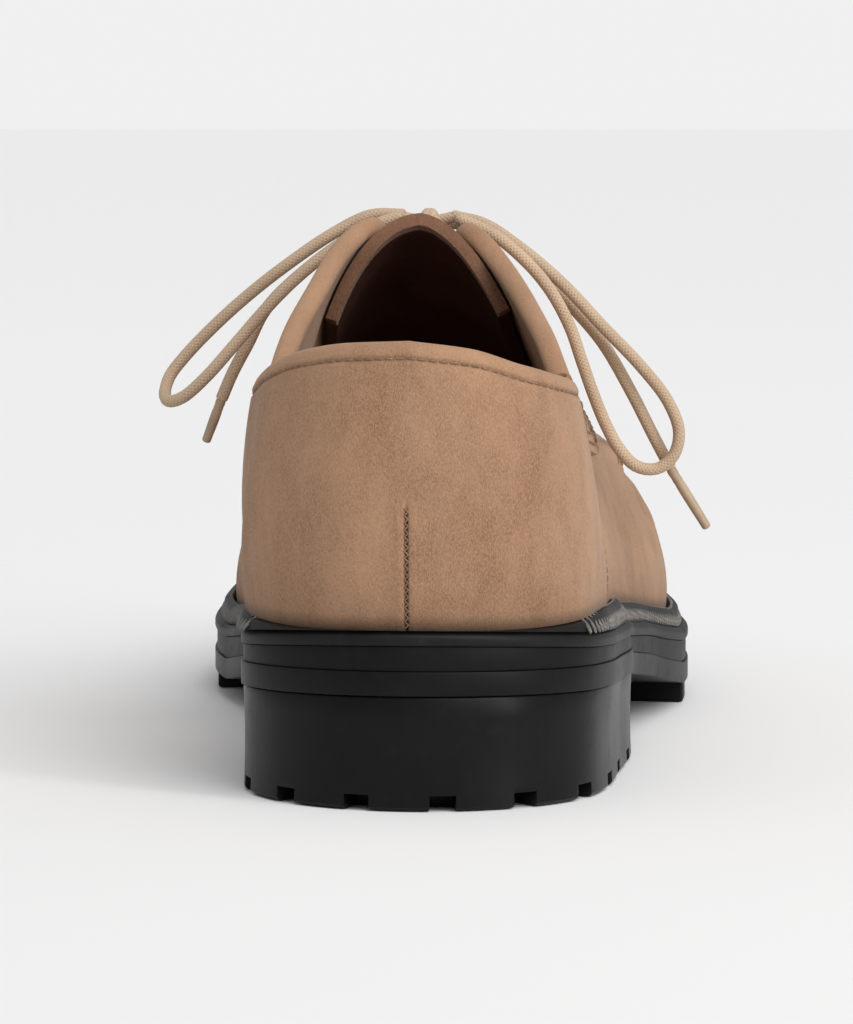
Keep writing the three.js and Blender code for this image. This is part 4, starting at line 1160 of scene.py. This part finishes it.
def make_upper():
    near = [1 - TOE_MM * k for k in (0.3, 0.6, 0.9, 1.2, 1.6, 2.1, 2.8, 3.6)]
    turns = ring(2.2, near)
    fine = 0.5 + np.array([-9, -7, -5.5, -4, -3, -2, -1, 0, 1, 2, 3, 4, 5.5, 7, 9]) * APRON_MM
    shares = np.unique(np.concatenate([np.linspace(0, 0.44, 20), fine, np.linspace(0.56, 1, 24)]))
    turn, share = np.meshgrid(turns, shares)
    around = np.abs(turn)
    off = (share - APRON) * COLUMN_HEIGHT
    apron = smooth(around, 0.50, 0.58) * (1.3 * bump(off, 1.7) - 0.75 * bump(off, 0.42))
    apron -= smooth(around, 0.50, 0.58) * 0.35 * bump(np.abs(off) - 3.0, 0.9)
    side = (1 - around) / TOE_MM
    toe = (1 - smooth(share, 0.48, 0.54)) * (1.2 * bump(side, 1.7) - 0.7 * bump(side, 0.42))
    points = skin(turn, share * cut(turn), 0.0, apron + toe)
    points[0, :, 2] -= 0.8
    seam = smooth(around, 0.5, 0.58) * bump(off, 0.9) + (1 - smooth(share, 0.48, 0.54)) * bump(side, 0.9)
    levels = np.linspace(0, 1, 60)
    for sign, rows in ((1, LATERAL_SEAM), (-1, MEDIAL_SEAM)):
        edge = np.interp(share, levels, np.abs(seam_turn(rows, sign, levels)))
        seam = seam + np.where(turn * sign > 0, bump((around - edge) / SEAM_MM - 0.4, 1.3), 0)
    rub = 0.5 * bump(np.abs(off) - 2.0, 1.0) * smooth(around, 0.5, 0.58)
    shade = foot_shade(points, 0.7 * np.clip(seam, 0, 1))
    piece = patch("upper_suede", points, {"shade": shade, "rub": rub})
    thicken(piece, WALL, inner=1)
    return round_edges(piece, 0.7, 60, 2)


def make_apron_stitches():
    """Hand stitches over the raised seams of the apron and the toe."""
    pairs, outs = [], []
    both = np.concatenate([-np.linspace(0.585, 0.995, 60), np.linspace(0.585, 0.995, 60)])
    half = APRON_STITCH / COLUMN_HEIGHT
    sides = [(t, APRON - half, t, APRON + half) for t in both]
    toes = [(1 - TOE_STITCH * TOE_MM, s, -1 + TOE_STITCH * TOE_MM, s) for s in np.linspace(0.10, 0.44, 9)]
    for t1, s1, t2, s2 in sides + toes:
        t, s = np.array([t1, t2]), np.array([s1, s2])
        ends = skin(t, s * cut(t), 0.45)
        pairs.append((ends[0], ends[1]))
        outs.append(facing_out(t[:1], (s * cut(t))[:1])[0][0])
    return threads("apron_stitches", pairs, np.array(outs), 0.34, 1.0)


def seam_turn(rows, sign, share):
    """Where a side seam crosses each share of the upper's height."""
    seam = through([(above_seat(rise), along_y(along)) for along, rise in rows[::-1]])

    def test(around):
        point = last(sign * around, share * cut(sign * around))
        return point[..., 1] - seam(point[..., 2])

    return sign * solve(test, 0 * share + HEEL_FAN, 0 * share + 0.5)


def panel_grid(places, rows):
    """Turn and share of the heel panel's points. places run from -1 at the medial seam to 1 at the lateral
    one, rows from 0 at the welt to 1 at the collar."""
    place, r = np.meshgrid(places, rows)
    share = np.full_like(place, 0.12)
    for _ in range(3):
        lateral = seam_turn(LATERAL_SEAM, 1, share[0])
        medial = seam_turn(MEDIAL_SEAM, -1, share[0])
        turn = np.where(places >= 0, places * lateral, -places * medial)
        top = cut(turn)
        y = last(turn, 0 * turn)[:, 1]
        share = np.broadcast_to(level_on_wall(turn, rib_top(y) + 0.25) / top, place.shape)
    share = mix(share, 1.0, r)
    levels = np.linspace(0, 1, 60)
    lateral = np.interp(share, levels, seam_turn(LATERAL_SEAM, 1, levels))
    medial = np.interp(share, levels, seam_turn(MEDIAL_SEAM, -1, levels))
    return np.where(place >= 0, place * lateral, -place * medial), share


def make_heel_panel():
    near = np.array([0.12, 0.25, 0.4, 0.6, 0.9, 1.3, 1.8]) * SEAM_MM
    edge = 1 - np.array([0.35, 0.8, 1.4, 2.1]) * SEAM_MM
    places = np.unique(np.concatenate([np.linspace(-1, 1, 97), near, -near, edge, -edge]))
    rows = np.unique(np.concatenate([np.linspace(0, 0.86, 30), np.linspace(0.86, 1, 30)]))
    turn, share = panel_grid(places, rows)
    top = cut(turn)
    base = last(turn, share * top)
    below = (1 - share) * HEEL_COLUMN
    groove = -0.42 * bump(below - EDGE_LINE, 0.5) + 0.18 * bump(below - 1.1, 0.9)
    beside = turn / HEEL_MM
    dart = (1 - smooth(base[..., 2], DART_TOP - 2, DART_TOP + 1))
    slit = -0.75 * bump(beside, 0.26) * dart + 0.22 * bump(np.abs(beside) - 1.5, 0.9) * dart
    hem = np.broadcast_to((1 - np.abs(places)) / SEAM_MM, turn.shape)
    seam = 0.25 * bump(hem - 3.4, 1.3)
    points = skin(turn, share * top, GAP + PANEL, groove + slit + seam)
    roll = rolled_edge(turn[-1], GAP + PANEL)
    shade = foot_shade(points, 0.95 * bump(beside, 0.30) * dart + 0.35 * bump(below - EDGE_LINE, 0.35))
    shade = shade + 0.95 * bump(hem, 1.5)
    extra = np.zeros((len(roll), len(places)))
    marks = {"shade": np.vstack([shade, extra]),
             "rub": np.vstack([0.5 * bump(below, 1.2) + 0.35 * bump(hem - 5, 3.0), extra + 0.55])}
    piece = patch("heel_panel_suede", np.concatenate([points, roll]), marks)
    thicken(piece, PANEL, inner=1)
    return round_edges(piece, 0.45, 60, 2)


def sewn(turn, up, lift):
    """A row of fine stitches along turns and heights, lifted off the last."""
    return stitch_row(skin(turn, up, lift), facing_out(turn, up)[0])


def make_panel_stitches():
    """Rows of fine stitches along the collar and both side seams, and the dart's zigzag."""
    turn, share = panel_grid(np.linspace(-0.985, 0.985, 260), np.array([1 - EDGE_LINE / HEEL_COLUMN]))
    made = [sewn(turn[0], share[0] * cut(turn[0]), GAP + PANEL - 0.40)]
    for sign in (-1, 1):
        turn, share = panel_grid(np.array([sign * (1 - EDGE_LINE * SEAM_MM)]), np.linspace(0.02, 0.93, 120))
        made.append(sewn(turn[:, 0], share[:, 0] * cut(turn[:, 0]), GAP + PANEL + 0.02))
    levels = np.arange(foot_height(-150.0) + 3.6, DART_TOP, 0.68)
    pairs, outs = [], []
    side = 0.34 * HEEL_MM
    for i, (low, high) in enumerate(zip(levels[:-1], levels[1:])):
        t = np.array([side, -side]) * (1 if i % 2 else -1)
        up = level_on_wall(t, np.array([low, high]))
        ends = skin(t, up, GAP + PANEL + 0.05)
        pairs.append((ends[0], ends[1]))
        outs.append(facing_out(t[:1], up[:1])[0][0])
    made.append(threads("row", pairs, np.array(outs), 0.13, 0.05))
    return joined("panel_stitches", *made)


def facing_low(sign):
    """The facing's lower edge in side view, as z from y."""
    column = 0 if sign > 0 else 1
    return through([(along_y(row[column]), above_seat(row[2])) for row in FACING_EDGE])


def facing_grid(sign, places, rows):
    """Turn and share of a facing's points: places run along it, rows from its lower edge to the throat."""
    edge = facing_low(sign)
    around = np.linspace(0.24, 0.559, 400)
    point = last(sign * around, cut(sign * around))
    over = point[:, 2] - edge(point[:, 1])
    inside = around[over > 0.15]
    turns = sign * mix(inside[0], inside[-1], places)
    top = cut(turns)
    y = last(turns, 0 * turns + 0.3)[:, 1]
    low = solve(lambda up: last(turns, up)[:, 2] - edge(y), 0 * turns + 0.05, top)
    share = mix((low / top)[None], 1.0, rows[:, None])
    return np.broadcast_to(turns, share.shape), share


def flap_lift(points):
    corner = np.array([along_y(FACING_CORNER[0]), above_seat(FACING_CORNER[1])])
    distance = np.linalg.norm(points[..., 1:] - corner, axis=-1)
    return FACING_LIFT * (1 - smooth(distance, 0, 0.09 * SOLE_LENGTH))


def make_facing(sign, name):
    places = np.linspace(0, 1, 90)
    parts = ((0, 0.12, 7), (0.12, 0.9, 26), (0.9, 1, 12))
    rows = np.unique(np.concatenate([np.linspace(*part) for part in parts]))
    turn, share = facing_grid(sign, places, rows)
    if sign < 0:
        turn, share = turn[:, ::-1], share[:, ::-1]
    top = cut(turn)
    base = last(turn, share * top)
    lift = flap_lift(base)
    edge = last(turn, top)
    below = np.linalg.norm(base - edge, axis=-1)
    above = np.linalg.norm(base - base[:1], axis=-1)
    groove = -0.4 * bump(below - EDGE_LINE, 0.5) - 0.2 * bump(above - 1.8, 0.5)
    points = skin(turn, share * top, GAP + FACING + lift, groove)
    roll = rolled_edge(turn[-1], GAP + FACING + lift[-1], 0.8)
    zero = np.zeros(roll.shape[:2])
    shade = 0.35 * bump(above, 0.8) + 0.3 * bump(below - EDGE_LINE, 0.4)
    marks = {"shade": np.vstack([shade, zero]), "rub": np.vstack([0.5 * bump(below, 1.5), zero + 0.7])}
    piece = patch(name, np.concatenate([points, roll]), marks)
    thicken(piece, 1.5, inner=1)
    return round_edges(piece, 0.4, 60, 2)


def make_facing_stitches(sign):
    """A row along the throat's edge and two along the flap's lower edge."""
    made = []
    fine = np.linspace(0.03, 0.97, 300)
    for row, from_top in ((EDGE_LINE, True), (1.8, False), (3.9, False)):
        turn, share = facing_grid(sign, fine, np.array([0.0, 1.0]))
        low, high = (last(turn[k], share[k] * cut(turn[k])) for k in (0, 1))
        height = np.linalg.norm(high - low, axis=1)
        part = np.clip(1 - row / height if from_top else row / height, 0, 1)
        level = mix(share[0], 1.0, part)
        keep = height > (2.2 * row if from_top else 9.0)
        t, up = turn[0][keep], (level * cut(turn[0]))[keep]
        made.append(sewn(t, up, GAP + FACING + flap_lift(last(t, up)) + (-0.36 if from_top else 0.0)))
    return joined("facing_stitches_" + ("lateral" if sign > 0 else "medial"), *made)


def make_tongue():
    around = np.linspace(TONGUE_START, 0.60, 46)
    ups = np.linspace(0.60, 1.0, 25)
    turn = np.concatenate([-np.ones(25), np.ones(24)])[None] * around[:, None]
    up = np.broadcast_to(np.concatenate([ups, ups[-2::-1]]), turn.shape)
    out, _ = facing_out(turn, up)
    base = last(turn, up)
    inwards = np.broadcast_to((around - TONGUE_START)[:, None] / TONGUE_MM, turn.shape)
    lip = 0.5 * bump(inwards - 1.2, 1.4)
    points = base + out * (-(WALL + TONGUE_GAP) - 0.3 + lip)[..., None]
    piece = patch("tongue_leather", points, {"rim": (inwards < TONGUE_RIM) * 1.0})
    thicken(piece, TONGUE)
    round_edges(piece, 0.9, 50, 4)
    return piece


def make_insole():
    turns = ring(3.0)
    board = inset(FOOT, WALL + GAP + 0.1)
    return slab("insole_sock", turns, board, foot_height, lambda y: foot_height(y) + INSOLE, 0.3, 0.8)


# ---------------------------------------------------------------- the lace

def beside_crown(y, across, lift):
    """A point over the throat, to one side of the centre line."""
    sign = -1.0 if across < 0 else 1.0
    turn = np.array([sign * around_at(y)])
    up = solve(lambda u: abs(across) - np.abs(last(turn, u)[:, 0] - spine_x(y)), [0.5], [1.0])
    return last(turn, up)[0] + facing_out(turn, up)[0][0] * lift


def eyelet(row, sign, lift):
    along, across = EYELETS[row]
    return beside_crown(along_y(along), sign * across * BALL_WIDTH, lift)


def make_crossings(radius):
    """The lace through the eyelets: crossed runs, a bar at the front and short runs up to the knot."""
    made = []
    high = 4.1
    for row in range(len(EYELETS) - 1):
        for sign in (1, -1):
            start, stop = EYELETS[row], EYELETS[row + 1]
            points = [eyelet(row, sign, 0.4), eyelet(row, sign, 2.6)]
            for share in (0.12, 0.3, 0.5, 0.7, 0.88):
                across = mix(sign * start[1], -sign * stop[1], share) * BALL_WIDTH
                y = along_y(mix(start[0], stop[0], share))
                middle = math.sin(share * math.pi)
                points.append(beside_crown(y, across, high + (1.1 if sign > 0 else -1.2) * middle))
            points += [eyelet(row + 1, -sign, 2.6), eyelet(row + 1, -sign, 0.4)]
            made.append(tube("run", flowing(points, 0.9), radius))
    front = len(EYELETS) - 1
    bar = [eyelet(front, 1, 0.4), eyelet(front, 1, 3.2)]
    along, across = EYELETS[front]
    bar += [beside_crown(along_y(along), across * BALL_WIDTH * x, 4.2) for x in (0.6, 0.01, -0.6)]
    bar += [eyelet(front, -1, 3.2), eyelet(front, -1, 0.4)]
    made.append(tube("run", flowing(bar, 0.9), radius))
    for sign in (1, -1):
        points = [eyelet(0, sign, 0.4), eyelet(0, sign, 3.4), (sign * 7.6 + 0.4, -28.6, 110.4),
                  (sign * 3.6 + 0.4, -27.4, 110.9)]
        made.append(tube("run", flowing(points, 0.9), radius))
    return joined("lace_crossed", *made)


def make_knot(radius):
    """The bow's knot: two strands drawn through a tight wrap."""
    centre = np.array(KNOT_CENTRE)
    made = []
    for lift, back in ((0.9, -1.6), (0.3, 1.5)):
        line = [centre + np.array(p) for p in ((-5.6, back, lift), (-2.6, back * 0.7, lift * 0.5 - 0.2),
                                               (0, back * 0.5, -0.2), (2.6, back * 0.7, lift * 0.5 - 0.2),
                                               (5.6, back, lift))]
        made.append(tube("strand", flowing(line, 0.6), radius * 1.05))
    for shift, lean in ((-0.9, 0.25), (1.1, -0.2)):
        angles = np.linspace(0, 2 * math.pi, 40)
        ring_line = np.column_stack([shift + lean * 2.6 * np.sin(angles), 2.9 * np.cos(angles),
                                     1.9 * np.sin(angles) - 0.2]) + centre
        made.append(tube("wrap", ring_line, radius * 0.95))
    return joined("bow_knot", *made)


def make_eyelets():
    """Punched eyelets: a pressed rim round a dark hole, two rows of four."""
    places = []
    for row in range(len(EYELETS)):
        for sign in (1, -1):
            spot, over = eyelet(row, sign, 0), eyelet(row, sign, 1)
            out = unit(over - spot)
            lift = GAP + FACING + float(flap_lift(spot[None])[0]) + 0.05
            places.append((frames(np.array([[0.0, 1.0, 0.0]]), out[None])[0], spot + out * lift))
    deselect()
    bpy.ops.mesh.primitive_torus_add(major_radius=2.15 * MM, minor_radius=0.42 * MM, major_segments=28,
                                     minor_segments=8)
    rims = copies("eyelet_rims", settled(bpy.context.object, "rim"), places)
    deselect()
    bpy.ops.mesh.primitive_cylinder_add(vertices=28, radius=1.95 * MM, depth=0.5 * MM)
    holes = copies("eyelet_holes", settled(bpy.context.object, "hole"), places)
    return rims, holes


# ---------------------------------------------------------------- settings

def size(name, description, default):
    return FloatProperty(name=name, description=description, default=default, unit="LENGTH", precision=5)


def tone(name, description, default):
    return FloatVectorProperty(name=name, description=description, default=default, subtype="COLOR", size=3,
                               min=0.0, max=1.0)


class DerbySizes(bpy.types.PropertyGroup):
    """Sizes of the shoe's small parts."""
    lace_diameter: size("Lace diameter", "Thickness of the round woven lace", 0.0027)
    aglet_diameter: size("Aglet diameter", "Thickness of the lace's hard tips", 0.0022)
    welt_pitch: size("Welt stitch pitch", "Distance from one heavy welt stitch to the next", 0.0024)
    welt_thread: size("Welt thread radius", "Half the thickness of the welt's thread", 0.00042)


class DerbyColours(bpy.types.PropertyGroup):
    """Colours of the shoe's materials."""
    suede: tone("Suede", "Middle tone of the brushed suede", (0.293, 0.170, 0.101))
    rubber: tone("Rubber", "Heel and sole rubber", (0.0042, 0.0042, 0.0046))
    welt: tone("Welt", "Trimmed edge of the welt", (0.0095, 0.0088, 0.0085))
    welt_thread: tone("Welt thread", "Heavy thread on the welt", (0.190, 0.175, 0.160))
    lining: tone("Lining", "Leather inside the shoe", (0.040, 0.017, 0.011))
    tongue: tone("Tongue", "Leather of the tongue", (0.060, 0.024, 0.015))
    sock: tone("Sock", "Leather of the insole", (0.230, 0.120, 0.065))
    lace: tone("Lace", "Woven lace", (0.530, 0.385, 0.262))
    seam: tone("Seam thread", "Fine sewing thread", (0.270, 0.160, 0.095))


class DerbyStage(bpy.types.PropertyGroup):
    """Backdrop, light and lens."""
    backdrop: tone("Backdrop", "Pale colour behind the shoe", (0.871, 0.871, 0.871))
    sun_strength: FloatProperty(name="Light", description="Strength of the broad overhead light",
                                default=1.62, min=0.0)
    fill_strength: FloatProperty(name="Fill", description="Strength of the light from all round",
                                 default=0.50, min=0.0)
    lens: FloatProperty(name="Lens", description="Focal length in millimetres", default=165.0, min=10.0)


def sizes():
    return bpy.context.scene.derby_sizes


def colours():
    return bpy.context.scene.derby_colours


def suede_skin():
    return suede("taupe_suede", colours().suede)


def lining_skin():
    return leather("lining_leather", colours().lining, 0.62)


def black_rubber():
    return rubber("sole_rubber", colours().rubber, 0.40, 0.12)


def seam_thread():
    return thread("seam_thread", colours().seam)


class Piece(bpy.types.Operator):
    """What the operators share."""
    bl_options = {"REGISTER", "UNDO"}

    def execute(self, context):
        self.build(context)
        return {"FINISHED"}


# The camera's place, and its angles downwards and towards the medial side, in degrees
CAMERA_PLACE = (0.0740, -1.0482, 0.1346)
CAMERA_DOWN = 4.85
CAMERA_ASIDE = 4.15
# What the two light panels face, and their place, power, width and height
LIT_POINT = (0, -0.12, 0.04)
LIGHT_PANELS = (("Side", (0.95, -0.75, 0.42), 3.6, 0.16, 0.9), ("Back", (0.95, -1.35, 0.75), 4.6, 1.0, 1.0))
SUN_FROM = (0.40, -0.60, 1.0)
SUN_SPREAD = 50
# The floor's tone from the front backwards, which evens out the light that falls on it
FLOOR_RANGE = (-0.4, 1.2)
FLOOR_TONES = ((0.03, (0.832, 0.825, 0.817)), (0.38, (0.898, 0.890, 0.882)), (1.0, (0.944, 0.935, 0.926)))


class DERBY_OT_stage(Piece):
    """Sets the camera, the lights and the pale floor"""
    bl_idname = "derby.stage"
    bl_label = "Stage"

    def build(self, context):
        stage = context.scene.derby_stage
        scene = context.scene
        scene.view_settings.view_transform = "Standard"
        camera = bpy.data.cameras.new("Camera")
        camera.lens = stage.lens
        camera.sensor_width = 36
        camera.clip_end = 200
        holder = bpy.data.objects.new("Camera", camera)
        holder.location = CAMERA_PLACE
        holder.rotation_euler = (math.radians(90 - CAMERA_DOWN), 0, math.radians(CAMERA_ASIDE))
        scene.collection.objects.link(holder)
        scene.camera = holder
        self.world(scene, stage)
        self.lights(scene, stage)
        self.floor()

    def world(self, scene, stage):
        world = bpy.data.worlds.new("Studio")
        world.use_nodes = True
        tree = world.node_tree
        fill = tree.nodes["Background"]
        fill.inputs["Color"].default_value = (0.97, 0.98, 1.0, 1)
        fill.inputs["Strength"].default_value = stage.fill_strength
        seen = tree.nodes.new("ShaderNodeBackground")
        seen.inputs["Color"].default_value = (*stage.backdrop, 1)
        path = tree.nodes.new("ShaderNodeLightPath")
        both = tree.nodes.new("ShaderNodeMixShader")
        tree.links.new(path.outputs["Is Camera Ray"], both.inputs["Fac"])
        tree.links.new(fill.outputs[0], both.inputs[1])
        tree.links.new(seen.outputs[0], both.inputs[2])
        tree.links.new(both.outputs[0], tree.nodes["World Output"].inputs["Surface"])
        scene.world = world

    def lights(self, scene, stage):
        sun = bpy.data.lights.new("Overhead", "SUN")
        sun.energy = stage.sun_strength
        sun.angle = math.radians(SUN_SPREAD)
        above = bpy.data.objects.new("Overhead", sun)
        above.rotation_euler = Vector(SUN_FROM).to_track_quat("Z", "Y").to_euler()
        scene.collection.objects.link(above)
        for name, place, power, width, height in LIGHT_PANELS:
            light = bpy.data.lights.new(name, "AREA")
            light.shape = "RECTANGLE"
            light.size, light.size_y = width, height
            light.energy = power
            lamp = bpy.data.objects.new(name, light)
            lamp.location = place
            aim = Vector(place) - Vector(LIT_POINT)
            lamp.rotation_euler = aim.to_track_quat("Z", "Y").to_euler()
            scene.collection.objects.link(lamp)

    def floor(self):
        deselect()
        bpy.ops.mesh.primitive_plane_add(size=80, location=(0, 0, -0.0002))
        floor = settled(bpy.context.object, "floor")
        in_edit(floor, lambda: bpy.ops.mesh.subdivide(number_cuts=3))
        s = Surface("pale_floor", 0.9, Specular_IOR_Level=0.1)
        across = s.node("ShaderNodeSeparateXYZ", Vector=s.coordinates.outputs["Object"]).outputs["Y"]
        s.colour(s.ramp(s.level(across, 0, 1, *FLOOR_RANGE), *FLOOR_TONES))
        floor.data.materials.append(s.material)


class DERBY_OT_bow(Piece):
    """Makes the bow: two loops, two ends with their tips, and the knot"""
    bl_idname = "derby.bow"
    bl_label = "Bow and lace ends"

    def build(self, context):
        radius = sizes().lace_diameter / MM / 2
        lace = braid("lace_weave", colours().lace)
        knot = dress(make_knot(radius), "lace", lace)
        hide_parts("lace_knot")
        for node, route in AGLETS.items():
            line = spread(np.array(route, float), 0.4)
            tip = tube(node + "_tip", line, sizes().aglet_diameter / MM / 2, 16, 0.6,
                       lambda run: 1 - 0.10 * smooth(run, 0.5, 1.0) - 0.07 * bump(run - 0.12, 0.03)
                       - 0.07 * bump(run - 0.22, 0.03))
            dress(tip, "aglet", leather("aglet_shell", scaled(colours().lace, 0.85), 0.35, 0.2))
            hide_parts(node)
        for node, route in ROUTES.items():
            line = flowing(route, 1.2)
            cord = tube("bow_" + node[5:], line, radius)
            dress(cord, "lace", lace)
            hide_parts(node)


class DERBY_OT_outsole(Piece):
    """Makes the outsole with its forepart lugs"""
    bl_idname = "derby.outsole"
    bl_label = "Outsole and lugs"

    def build(self, context):
        turns = ring(2.4)
        body = slab("outsole_body", turns, RIM, lambda y: body_bottom(y) - LAYER_LAP, body_top, 0.3, 0.2)
        dress(body, "rubber", black_rubber())
        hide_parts("outsole")
        lugs = blocks("outsole_lugs", lug_plans(), lambda y: body_bottom(y) - LUG_HEIGHT,
                      lambda y: body_bottom(y) + OUTSOLE / 2)
        lugs = settled(lugs, "outsole_lugs")
        round_edges(lugs, 0.55, 40, 2)
        dress(lugs, "rubber", rubber("lug_rubber", colours().rubber, 0.52, 0.05, 1.6))
        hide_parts("outsole")


class DERBY_OT_heel(Piece):
    """Makes the heel block with the notches in its bottom edge"""
    bl_idname = "derby.heel"
    bl_label = "Heel"

    def build(self, context):
        heel = make_heel()
        dress(heel, "rubber", rubber("heel_rubber", colours().rubber, 0.33, 0.18, 0.7))
        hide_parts("heel")


class DERBY_OT_midsole(Piece):
    """Makes the midsole"""
    bl_idname = "derby.midsole"
    bl_label = "Midsole"

    def build(self, context):
        outline = inset(RIM, MIDSOLE_STEP)
        piece = slab("midsole_layer", ring(2.4), outline, lambda y: midsole_bottom(y) - LAYER_LAP,
                     lambda y: midsole_top(y) + LAYER_LAP, 0.15, 0.15)
        dress(piece, "rubber", rubber("midsole_rubber", colours().rubber, 0.46, 0.10))
        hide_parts("midsole")


class DERBY_OT_welt(Piece):
    """Makes the welt with its raised rib and heavy stitches"""
    bl_idname = "derby.welt"
    bl_label = "Welt and stitches"

    def build(self, context):
        turns = ring(2.0)
        strip = make_welt(turns)
        dress(strip, "rubber", rubber("welt_edge", colours().welt, 0.44, 0.20, 1.2))
        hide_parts("welt")
        fine = ring(1.0)
        rows = make_welt_stitches(fine, sizes().welt_pitch / MM, sizes().welt_thread / MM)
        dress(rows, "rubber", thread("welt_thread", colours().welt_thread, 0.7))


class DERBY_OT_insole(Piece):
    """Makes the sock over the insole"""
    bl_idname = "derby.insole"
    bl_label = "Insole"

    def build(self, context):
        piece = make_insole()
        dress(piece, "insole", leather("sock_leather", colours().sock, 0.5))
        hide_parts("insole")


class DERBY_OT_upper(Piece):
    """Makes the suede upper with its lining, apron seam and toe seam"""
    bl_idname = "derby.upper"
    bl_label = "Upper"

    def build(self, context):
        upper = make_upper()
        dress(upper, "suede", suede_skin(), lining_skin())
        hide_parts("upper")
        dress(make_apron_stitches(), "suede", seam_thread())


class DERBY_OT_heel_panel(Piece):
    """Makes the heel panel with its folded collar, dart and stitches"""
    bl_idname = "derby.heel_panel"
    bl_label = "Heel panel"

    def build(self, context):
        panel = make_heel_panel()
        dress(panel, "suede", suede_skin(), lining_skin())
        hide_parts("heel_panel")
        dress(make_panel_stitches(), "suede", seam_thread())


class DERBY_OT_facings(Piece):
    """Makes both facings with their stitches and eyelets"""
    bl_idname = "derby.facings"
    bl_label = "Facings and eyelets"

    def build(self, context):
        for sign, side in ((1, "lateral"), (-1, "medial")):
            flap = make_facing(sign, "facing_suede_" + side)
            dress(flap, "suede", suede_skin(), lining_skin())
            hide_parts("facing_" + side)
            dress(make_facing_stitches(sign), "suede", seam_thread())
        rims, holes = make_eyelets()
        dress(rims, "suede", suede("eyelet_suede", colours().suede, 0.72))
        dress(holes, "lining", lining_skin())


class DERBY_OT_tongue(Piece):
    """Makes the leather tongue"""
    bl_idname = "derby.tongue"
    bl_label = "Tongue"

    def build(self, context):
        tongue = make_tongue()
        dress(tongue, "lining", leather("tongue_leather", colours().tongue, 0.55),
              suede("tongue_suede", (0.190, 0.098, 0.060)))
        rim = tongue.data.attributes["rim"].data
        for face in tongue.data.polygons:
            face.material_index = 1 if min(rim[v].value for v in face.vertices) > 0.5 else 0
        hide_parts("tongue")


class DERBY_OT_crossings(Piece):
    """Makes the crossed lace over the throat"""
    bl_idname = "derby.crossings"
    bl_label = "Lace crossings"

    def build(self, context):
        piece = make_crossings(sizes().lace_diameter / MM / 2)
        dress(piece, "lace", braid("lace_weave", colours().lace))
        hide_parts("lace_crossings")


PIECES = (DERBY_OT_stage, DERBY_OT_bow, DERBY_OT_outsole, DERBY_OT_heel, DERBY_OT_midsole, DERBY_OT_welt,
          DERBY_OT_insole, DERBY_OT_upper, DERBY_OT_heel_panel, DERBY_OT_facings, DERBY_OT_tongue,
          DERBY_OT_crossings)


class DERBY_PT_pieces(bpy.types.Panel):
    """Lists the shoe's pieces and settings"""
    bl_idname = "DERBY_PT_pieces"
    bl_label = "Split Toe Derby"
    bl_space_type = "VIEW_3D"
    bl_region_type = "UI"
    bl_category = "Derby"

    def draw(self, context):
        layout = self.layout
        for piece in PIECES:
            layout.operator(piece.bl_idname)
        for settings in (context.scene.derby_sizes, context.scene.derby_colours, context.scene.derby_stage):
            box = layout.box()
            for key in settings.__annotations__:
                box.prop(settings, key)


SETTINGS = (("derby_sizes", DerbySizes), ("derby_colours", DerbyColours), ("derby_stage", DerbyStage))


def register():
    for key, settings in SETTINGS:
        bpy.utils.register_class(settings)
        setattr(bpy.types.Scene, key, PointerProperty(type=settings))
    for piece in PIECES:
        bpy.utils.register_class(piece)
    bpy.utils.register_class(DERBY_PT_pieces)


def unregister():
    bpy.utils.unregister_class(DERBY_PT_pieces)
    for piece in reversed(PIECES):
        bpy.utils.unregister_class(piece)
    for key, settings in SETTINGS:
        delattr(bpy.types.Scene, key)
        bpy.utils.unregister_class(settings)


def main():
    register()
    deselect()
    for piece in PIECES:
        group, name = piece.bl_idname.split(".")
        getattr(getattr(bpy.ops, group), name)()
    deselect()


if __name__ == "__main__":
    main()
